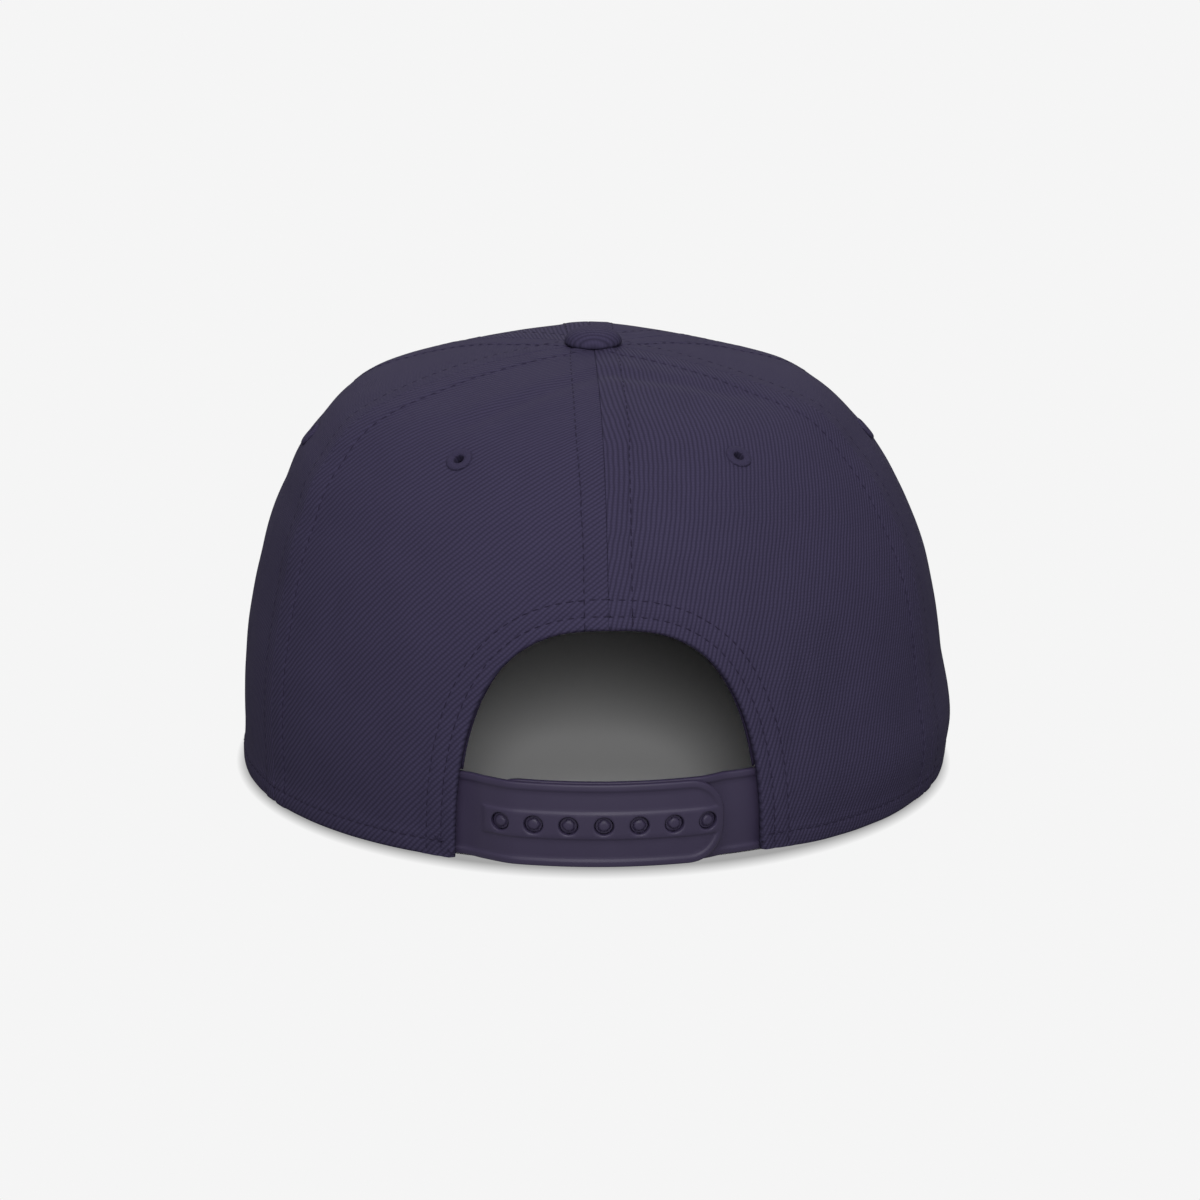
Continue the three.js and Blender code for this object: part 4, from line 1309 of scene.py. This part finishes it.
def stitch_facing(tree, given):
    """Each stitch lies along its row and faces out of the cloth, swayed a little to one side."""
    tangent = made_by(tree, "GeometryNodeInputTangent")
    outward = made_by(tree, "GeometryNodeInputNamedAttribute", {"Name": "out"}, data_type="FLOAT_VECTOR")
    along = made_by(tree, "FunctionNodeAlignRotationToVector", {"Vector": tangent}, axis="X")
    facing = made_by(
        tree, "FunctionNodeAlignRotationToVector", {"Rotation": along, "Vector": outward},
        axis="Z", pivot_axis="X",
    )
    limits = {2: -STITCH_SWAY, 3: STITCH_SWAY, "Seed": given["Seed"]}
    sway = add(tree, "FunctionNodeRandomValue", limits, data_type="FLOAT").outputs[1]
    swayed = made_by(tree, "FunctionNodeAxisAngleToRotation", {"Axis": (0, 0, 1), "Angle": sway})
    return made_by(
        tree, "FunctionNodeRotateRotation", {"Rotation": facing, "Rotate By": swayed}, rotation_space="LOCAL",
    )


def stitch_tree():
    """A geometry tree that lays one bowed stitch after another along rows of points."""
    tree = bpy.data.node_groups.new("stitches_along_rows", "GeometryNodeTree")
    tree.interface.new_socket("Rows", in_out="INPUT", socket_type="NodeSocketGeometry")
    for name, default in STITCH_DEFAULTS.items():
        socket = tree.interface.new_socket(name, in_out="INPUT", socket_type="NodeSocketFloat")
        socket.default_value = default
    tree.interface.new_socket("Seed", in_out="INPUT", socket_type="NodeSocketInt").default_value = 4
    tree.interface.new_socket("Thread", in_out="INPUT", socket_type="NodeSocketMaterial")
    tree.interface.new_socket("Stitches", in_out="OUTPUT", socket_type="NodeSocketGeometry")
    given, out = add(tree, "NodeGroupInput").outputs, add(tree, "NodeGroupOutput")
    stitch = one_stitch(tree, given)
    rows = made_by(tree, "GeometryNodeMeshToCurve", {0: given["Rows"]})
    places = made_by(
        tree, "GeometryNodeResampleCurve", {"Curve": rows, "Length": given["Pitch"]}, mode="LENGTH",
    )
    facing = stitch_facing(tree, given)
    placed = made_by(tree, "GeometryNodeInstanceOnPoints", {
        "Points": places, "Instance": stitch, "Rotation": facing,
    })
    real = made_by(tree, "GeometryNodeRealizeInstances", {0: placed})
    sewn = made_by(tree, "GeometryNodeSetMaterial", {"Geometry": real, "Material": given["Thread"]})
    tree.links.new(sewn, out.inputs["Stitches"])
    return tree


def stitched(name, rows, thread, sewing):
    """A plain mesh of stitches along rows: a row is its points and their directions out of the cloth."""
    mesh = bpy.data.meshes.new(name + "_rows")
    points = np.concatenate([row[0] for row in rows])
    outs = np.concatenate([row[1] for row in rows])
    edges = []
    start = 0
    for row in rows:
        edges += [(start + step, start + step + 1) for step in range(len(row[0]) - 1)]
        start += len(row[0])
    mesh.from_pydata(to_frame(points).tolist(), edges, [])
    outward = mesh.attributes.new("out", "FLOAT_VECTOR", "POINT")
    outward.data.foreach_set("vector", outs.astype(np.float32).ravel())
    carrier = bpy.data.objects.new(name + "_rows", mesh)
    bpy.context.scene.collection.objects.link(carrier)
    tree = bpy.data.node_groups.get("stitches_along_rows") or stitch_tree()
    modifier = carrier.modifiers.new("stitches", "NODES")
    modifier.node_group = tree
    values = {"Pitch": sewing.pitch, "Length": sewing.length, "Thread radius": sewing.thread / 2,
              "Bow": sewing.thread * 0.05, "Dive": sewing.thread * 0.9, "Seed": sewing.seed, "Thread": thread}
    for socket in tree.interface.items_tree:
        if socket.in_out == "INPUT" and socket.name in values:
            modifier[socket.identifier] = values[socket.name]
    evaluated = carrier.evaluated_get(bpy.context.evaluated_depsgraph_get())
    made = bpy.data.objects.new(name, bpy.data.meshes.new_from_object(evaluated))
    made.data.shade_smooth()
    bpy.context.scene.collection.objects.link(made)
    bpy.data.objects.remove(carrier)
    return made


def crown_row(side, index, name, distance, keep):
    """One row on a panel, beside one of its edges, left out near the other edges."""
    outline = panel_outline(side, index)
    row = spaced(beside(outline.edges[name], distance), ROW_SPACING)
    clear = nearest_on(row, outline.edges[name])[0] > ROW_CLEAR_SHARE * distance
    clear &= outline.holds(row)
    for other, gap in keep.items():
        if other in outline.edges:
            clear &= nearest_on(row, outline.edges[other])[0] > gap
    row = row[clear]
    outer, _, normal = panel_faces(side, index, row)
    return outer, normal


def crown_rows():
    rows = []
    for _, side in SIDES:
        for index in range(3):
            for seam in ("left_seam", "right_seam"):
                rows.append(crown_row(side, index, seam, SEAM_ROW, ROW_ENDS["seam"]))
            rows.append(crown_row(side, index, "rim", RIM_ROW, ROW_ENDS["rim"]))
            if index == 0:
                for place in ARCH_ROWS:
                    rows.append(crown_row(side, index, "arch", place, ROW_ENDS["arch"]))
    return rows + tack_rows()


def tack_rows():
    """The short slanting rows that hold the corners of the turned-in cloth beside the opening."""
    rows = []
    for side, start, end in CORNER_TACKS:
        turns = np.radians(np.linspace(start[0], end[0], 12)) * side
        heights = np.linspace(start[1], end[1], 12)
        rises = rise_at_height(turns, heights)
        normal = crown_normal(turns, rises)
        rows.append((crown_point(turns, rises) + normal * HEM_RAISE, normal))
    return rows


def visor_stitch_rows():
    outline = visor_outline()
    rows = []
    for place in visor_rows():
        row = spaced(beside(outline.edges["edge"], place), ROW_SPACING)
        clear = nearest_on(row, outline.edges["edge"])[0] > ROW_CLEAR_SHARE * place
        clear &= outline.holds(row)
        clear &= nearest_on(row, outline.edges["seat"])[0] > VISOR_FIRST_ROW
        row = row[clear]
        height = visor_underside(row[:, 0]) + VISOR_THICKNESS + visor_relief(row)
        slope = 2 * VISOR_ARCH * row[:, 0] / VISOR_HALF_WIDTH ** 2
        normal = unit(np.column_stack([slope, np.zeros(len(row)), np.ones(len(row))]))
        rows.append((np.column_stack([row, height]), normal))
    return rows


# Stage: light as shares, the painted shade round the foot in millimetres, and the lights' rise and spread in
# degrees

BACKDROP = (0.914, 0.914, 0.914)
FLOOR_RETURN = 0.42
FLOOR_SEAM = -0.6
FOOT_SHADE = 0.4
SHADE_ASIDE = 2.8
SHADE_BEHIND = 8.4
VISOR_SHADE_INSET = 8
KEY_RISE, KEY_SPREAD = 20.5, 18
FILL_RISE, FILL_SPREAD = 60, 50
FRONT_RISE, FRONT_SPREAD = 148, 40

# Distances in millimetres from the middle of the crown's foot, angles in degrees
CAMERA = {
    "distance": 1600, "rise": 17.0, "yaw": 2.4, "up": 38.3, "aside": 1.7, "lens": 193.4, "sensor": 36.0,
}


def aim(thing, target):
    direction = Vector(target) - thing.location
    thing.rotation_euler = direction.to_track_quat("-Z", "Y").to_euler()


def add_sun(name, rise, spread, strength):
    """A broad even light; its rise is 0 level behind the cap, 90 overhead and 180 level in front."""
    data = bpy.data.lights.new(name, "SUN")
    data.energy = strength
    data.angle = math.radians(spread)
    made = bpy.data.objects.new(name, data)
    made.location = (0, math.cos(math.radians(rise)), math.sin(math.radians(rise)))
    bpy.context.scene.collection.objects.link(made)
    aim(made, (0, 0, 0))


def oval_share(tree, place, middle, half_width, reach):
    """How far a place on the floor is from the middle of an oval, as a share of the oval's size that way."""
    across = maths(tree, "DIVIDE", maths(tree, "SUBTRACT", place["X"], middle[0]), half_width * MM)
    along = maths(tree, "DIVIDE", maths(tree, "SUBTRACT", place["Y"], middle[1]), reach * MM)
    squares = maths(tree, "ADD", maths(tree, "POWER", across, 2.0), maths(tree, "POWER", along, 2.0))
    return maths(tree, "SQRT", squares)


def past_foot(tree, place, middle, half_width, reach):
    """0 at an oval's edge and 1 where the painted shade round it on the floor ends; below 0 within the oval.
    """
    foot = oval_share(tree, place, middle, half_width, reach)
    shade = oval_share(tree, place, middle, half_width + SHADE_ASIDE, reach + SHADE_BEHIND)
    return maths(tree, "DIVIDE", maths(tree, "SUBTRACT", foot, 1.0), maths(tree, "SUBTRACT", foot, shade))


def floor_material(colour):
    """A pale matt floor: lit under the cap, with painted shade round its foot, and one even colour beyond
    that.
    """
    made, tree = new_material("floor")
    seen = add(tree, "ShaderNodeLightPath").outputs["Is Camera Ray"]
    place = add(tree, "ShaderNodeSeparateXYZ", {0: add(tree, "ShaderNodeTexCoord").outputs["Object"]}).outputs
    foot = 1 - RIM_TUCK_SHARE
    behind = maths(tree, "GREATER_THAN", place["Y"], CENTRE[1])
    back = past_foot(tree, place, CENTRE, CROWN_HALF_WIDTH * foot, CROWN_BACK_REACH * foot)
    front = past_foot(tree, place, CENTRE, CROWN_HALF_WIDTH * foot, CROWN_FRONT_REACH * foot)
    crown = add(tree, "ShaderNodeMix", {"Factor": behind, "A": front, "B": back}).outputs["Result"]
    visor_middle = CENTRE - (0, (CROWN_FRONT_REACH - VISOR_WIDEST_SETBACK) * MM, 0)
    visor_reach = VISOR_LENGTH + VISOR_WIDEST_SETBACK
    visor = past_foot(tree, place, visor_middle, VISOR_HALF_WIDTH - VISOR_SHADE_INSET, visor_reach)
    after_visor = maths(tree, "GREATER_THAN", place["Y"], visor_middle[1])
    ahead = add(tree, "ShaderNodeMix", {"Factor": after_visor, "A": visor, "B": 1.0}).outputs["Result"]
    nearest = maths(tree, "MINIMUM", crown, ahead)
    # Painted shade: the backdrop's glow is dimmed close round the crown's foot and under the visor, in place
    # of their contact shadow.
    shade = made_by(tree, "ShaderNodeMapRange", {"Value": nearest, "To Min": FOOT_SHADE, "To Max": 1.0})
    outside = maths(tree, "GREATER_THAN", nearest, FLOOR_SEAM)
    dull = tuple(value * FLOOR_RETURN for value in colour)
    mixed = add(tree, "ShaderNodeMix", {"Factor": seen, "A": (*dull, 1), "B": (*colour, 1)}, data_type="RGBA")
    matt = add(tree, "ShaderNodeBsdfDiffuse", {"Color": mixed.outputs["Result"]})
    flat = add(tree, "ShaderNodeEmission", {"Color": (*BACKDROP, 1), "Strength": shade})
    picked = maths(tree, "MULTIPLY", seen, outside)
    shader = add(tree, "ShaderNodeMixShader", {0: picked, 1: matt.outputs[0], 2: flat.outputs[0]})
    add(tree, "ShaderNodeOutputMaterial", {"Surface": shader.outputs[0]})
    return made


def light_world(strength):
    """Even light from all round, which the camera sees as the backdrop."""
    world = bpy.data.worlds.new("dome")
    bpy.context.scene.world = world
    world.use_nodes = True
    tree = world.node_tree
    tree.nodes.clear()
    seen = add(tree, "ShaderNodeLightPath").outputs["Is Camera Ray"]
    dome = add(tree, "ShaderNodeBackground", {"Color": (1, 1, 1, 1), "Strength": strength})
    backdrop = add(tree, "ShaderNodeBackground", {"Color": (*BACKDROP, 1), "Strength": 1.0})
    shader = add(tree, "ShaderNodeMixShader", {0: seen, 1: dome.outputs[0], 2: backdrop.outputs[0]})
    add(tree, "ShaderNodeOutputWorld", {"Surface": shader.outputs[0]})


def add_camera():
    """The camera at the photograph's angle: behind the cap, a little above it and a little to its left."""
    rise, yaw = math.radians(CAMERA["rise"]), math.radians(CAMERA["yaw"])
    back = np.array([math.sin(yaw) * math.cos(rise), math.cos(yaw) * math.cos(rise), math.sin(rise)])
    right = np.array([-math.cos(yaw), math.sin(yaw), 0.0])
    up = np.cross(back, right)
    data = bpy.data.cameras.new("camera")
    data.sensor_width = CAMERA["sensor"]
    data.lens = CAMERA["lens"]
    data.clip_end = 100
    made = bpy.data.objects.new("camera", data)
    made.location = to_frame(back * CAMERA["distance"])
    bpy.context.scene.collection.objects.link(made)
    aim(made, to_frame(up * CAMERA["up"] + right * CAMERA["aside"]))
    bpy.context.scene.camera = made


def length_property(name, description, default):
    return FloatProperty(name=name, description=description, default=default, unit="LENGTH")


def light_property(name, description, default):
    return FloatProperty(name=name, description="Strength of " + description, default=default)


def colour_property(name, description, default):
    return FloatVectorProperty(
        name=name, description="Colour of " + description, size=3, subtype="COLOR", default=default,
        min=0, max=1,
    )


class SewingSettings(bpy.types.PropertyGroup):
    pitch: length_property("Stitch pitch", "From one stitch to the next", 0.0027)
    length: length_property("Stitch length", "Length of one stitch", 0.0023)
    thread: length_property("Thread", "Thickness of the thread", 0.00036)
    seed: IntProperty(name="Seed", description="Which way the stitches sway", default=4)


class FinishSettings(bpy.types.PropertyGroup):
    cloth: colour_property("Cloth", "the crown and visor", linear(54, 50, 69))
    # The thread is the cloth's own colour set darker, as painted shade of the stitches sunk in the cloth.
    thread: colour_property("Thread", "the sewing thread", linear(42, 38, 54))
    band: colour_property("Bands", "the sweatband and tape", linear(44, 39, 56))
    plastic: colour_property("Plastic", "the snap strap", linear(50, 44, 64))
    wale_pitch: FloatProperty(
        name="Wale pitch", description="Between two wales of the twill, in millimetres", default=1.1,
    )
    weave_depth: length_property("Weave depth", "Depth of the twill", 0.00012)


class StageSettings(bpy.types.PropertyGroup):
    floor: colour_property("Floor", "the floor", (0.9, 0.9, 0.9))
    key: light_property("Key light", "the low light from behind", 1.3)
    fill: light_property("Fill light", "the soft light from high behind", 2.4)
    front: light_property("Front light", "the soft light from in front", 1.0)
    dome: light_property("Dome light", "the light from all round", 0.35)


@functools.lru_cache(maxsize=None)
def crown_cloth():
    finish = bpy.context.scene.cap_finish
    return cloth_material("crown_cloth", tuple(finish.cloth), finish.wale_pitch, finish.weave_depth)


@functools.lru_cache(maxsize=None)
def band_cloth():
    finish = bpy.context.scene.cap_finish
    return cloth_material("band_cloth", tuple(finish.band), wale_pitch=0.7, depth=0.0001)


@functools.lru_cache(maxsize=None)
def sewing_thread():
    return thread_material("sewing_thread", tuple(bpy.context.scene.cap_finish.thread))


class CAP_OT_crown(bpy.types.Operator):
    """Build the six crown panels"""
    bl_idname = "cap.crown"
    bl_label = "Crown panels"

    def execute(self, context):
        for side_name, side in SIDES:
            for index, eyelet in enumerate(EYELET_PLACES):
                panel = crown_panel(side_name, side, index)
                finish_piece(panel, crown_cloth(), "crown_cloth", f"{eyelet['name']}_{side_name}_panel")
        return {"FINISHED"}


class CAP_OT_stitches(bpy.types.Operator):
    """Sew the rows of stitches on the crown and the visor"""
    bl_idname = "cap.stitches"
    bl_label = "Stitches"

    def execute(self, context):
        thread, sewing = sewing_thread(), context.scene.cap_sewing
        finish_piece(stitched("crown_stitches", crown_rows(), thread, sewing), thread, "crown_cloth")
        finish_piece(stitched("visor_stitches", visor_stitch_rows(), thread, sewing), thread, "visor_cloth")
        return {"FINISHED"}


class CAP_OT_button(bpy.types.Operator):
    """Build the covered button on top"""
    bl_idname = "cap.button"
    bl_label = "Top button"

    def execute(self, context):
        finish_piece(top_button(), crown_cloth(), "button_cloth", "top_button")
        return {"FINISHED"}


class CAP_OT_eyelets(bpy.types.Operator):
    """Build the six sewn eyelets"""
    bl_idname = "cap.eyelets"
    bl_label = "Eyelets"

    def execute(self, context):
        colour = tuple(context.scene.cap_finish.cloth)
        thread = cloth_material("eyelet_thread", colour, wale_pitch=0.3, depth=0.00005)
        for side_name, side in SIDES:
            for eyelet in EYELET_PLACES:
                place = f"{eyelet['name']}_{side_name}"
                ring = eyelet_ring(f"ring_{place}", side, eyelet)
                finish_piece(ring, thread, "eyelet_thread", f"eyelet_{place}")
        return {"FINISHED"}


class CAP_OT_visor(bpy.types.Operator):
    """Build the visor"""
    bl_idname = "cap.visor"
    bl_label = "Visor"

    def execute(self, context):
        finish_piece(visor_cover(), crown_cloth(), "visor_cloth", "visor")
        return {"FINISHED"}


class CAP_OT_bands(bpy.types.Operator):
    """Build the sweatband and the tape inside the arch"""
    bl_idname = "cap.bands"
    bl_label = "Sweatband and tape"

    def execute(self, context):
        finish_piece(sweatband(), band_cloth(), "sweatband_cloth", "sweatband")
        finish_piece(arch_tape(), band_cloth(), "binding_tape", "arch_tape")
        return {"FINISHED"}


class CAP_OT_strap(bpy.types.Operator):
    """Build the two moulded bands of the snap strap"""
    bl_idname = "cap.strap"
    bl_label = "Snap strap"

    def execute(self, context):
        plastic = plastic_material("strap_plastic", tuple(context.scene.cap_finish.plastic))
        finish_piece(strap_band("strap_with_holes", 1), plastic, "strap_plastic", "strap_outer")
        finish_piece(strap_band("strap_with_studs", -1), plastic, "strap_plastic", "strap_inner")
        return {"FINISHED"}


class CAP_OT_stage(bpy.types.Operator):
    """Set the floor, the lights and the camera"""
    bl_idname = "cap.stage"
    bl_label = "Stage"

    def execute(self, context):
        stage = context.scene.cap_stage
        bpy.ops.mesh.primitive_plane_add(size=30, location=(0, 0, 0))
        floor = context.active_object
        floor.name = "floor"
        floor.data.materials.append(floor_material(tuple(stage.floor)))
        add_sun("key", KEY_RISE, KEY_SPREAD, stage.key)
        add_sun("fill", FILL_RISE, FILL_SPREAD, stage.fill)
        add_sun("front", FRONT_RISE, FRONT_SPREAD, stage.front)
        light_world(stage.dome)
        context.scene.view_settings.view_transform = "Standard"
        add_camera()
        return {"FINISHED"}


class CAP_PT_panel(bpy.types.Panel):
    bl_idname = "CAP_PT_panel"
    bl_label = "Snapback cap"
    bl_space_type = "VIEW_3D"
    bl_region_type = "UI"
    bl_category = "Cap"

    def draw(self, context):
        for operator in OPERATORS:
            self.layout.operator(operator.bl_idname)
        for settings in (context.scene.cap_sewing, context.scene.cap_finish, context.scene.cap_stage):
            for name in settings.bl_rna.properties.keys():
                if name not in ("rna_type", "name"):
                    self.layout.prop(settings, name)


SETTINGS = {"cap_sewing": SewingSettings, "cap_finish": FinishSettings, "cap_stage": StageSettings}
OPERATORS = (CAP_OT_crown, CAP_OT_button, CAP_OT_eyelets, CAP_OT_visor, CAP_OT_bands, CAP_OT_strap,
             CAP_OT_stitches, CAP_OT_stage)


def register():
    for kind in (*SETTINGS.values(), *OPERATORS, CAP_PT_panel):
        bpy.utils.register_class(kind)
    for name, kind in SETTINGS.items():
        setattr(bpy.types.Scene, name, PointerProperty(type=kind))


def unregister():
    for name in SETTINGS:
        delattr(bpy.types.Scene, name)
    for kind in (CAP_PT_panel, *reversed(OPERATORS), *reversed(tuple(SETTINGS.values()))):
        bpy.utils.unregister_class(kind)


def main():
    register()
    bpy.ops.cap.crown()
    bpy.ops.cap.button()
    bpy.ops.cap.eyelets()
    bpy.ops.cap.visor()
    bpy.ops.cap.bands()
    bpy.ops.cap.strap()
    bpy.ops.cap.stitches()
    bpy.ops.cap.stage()


if __name__ == "__main__":
    main()
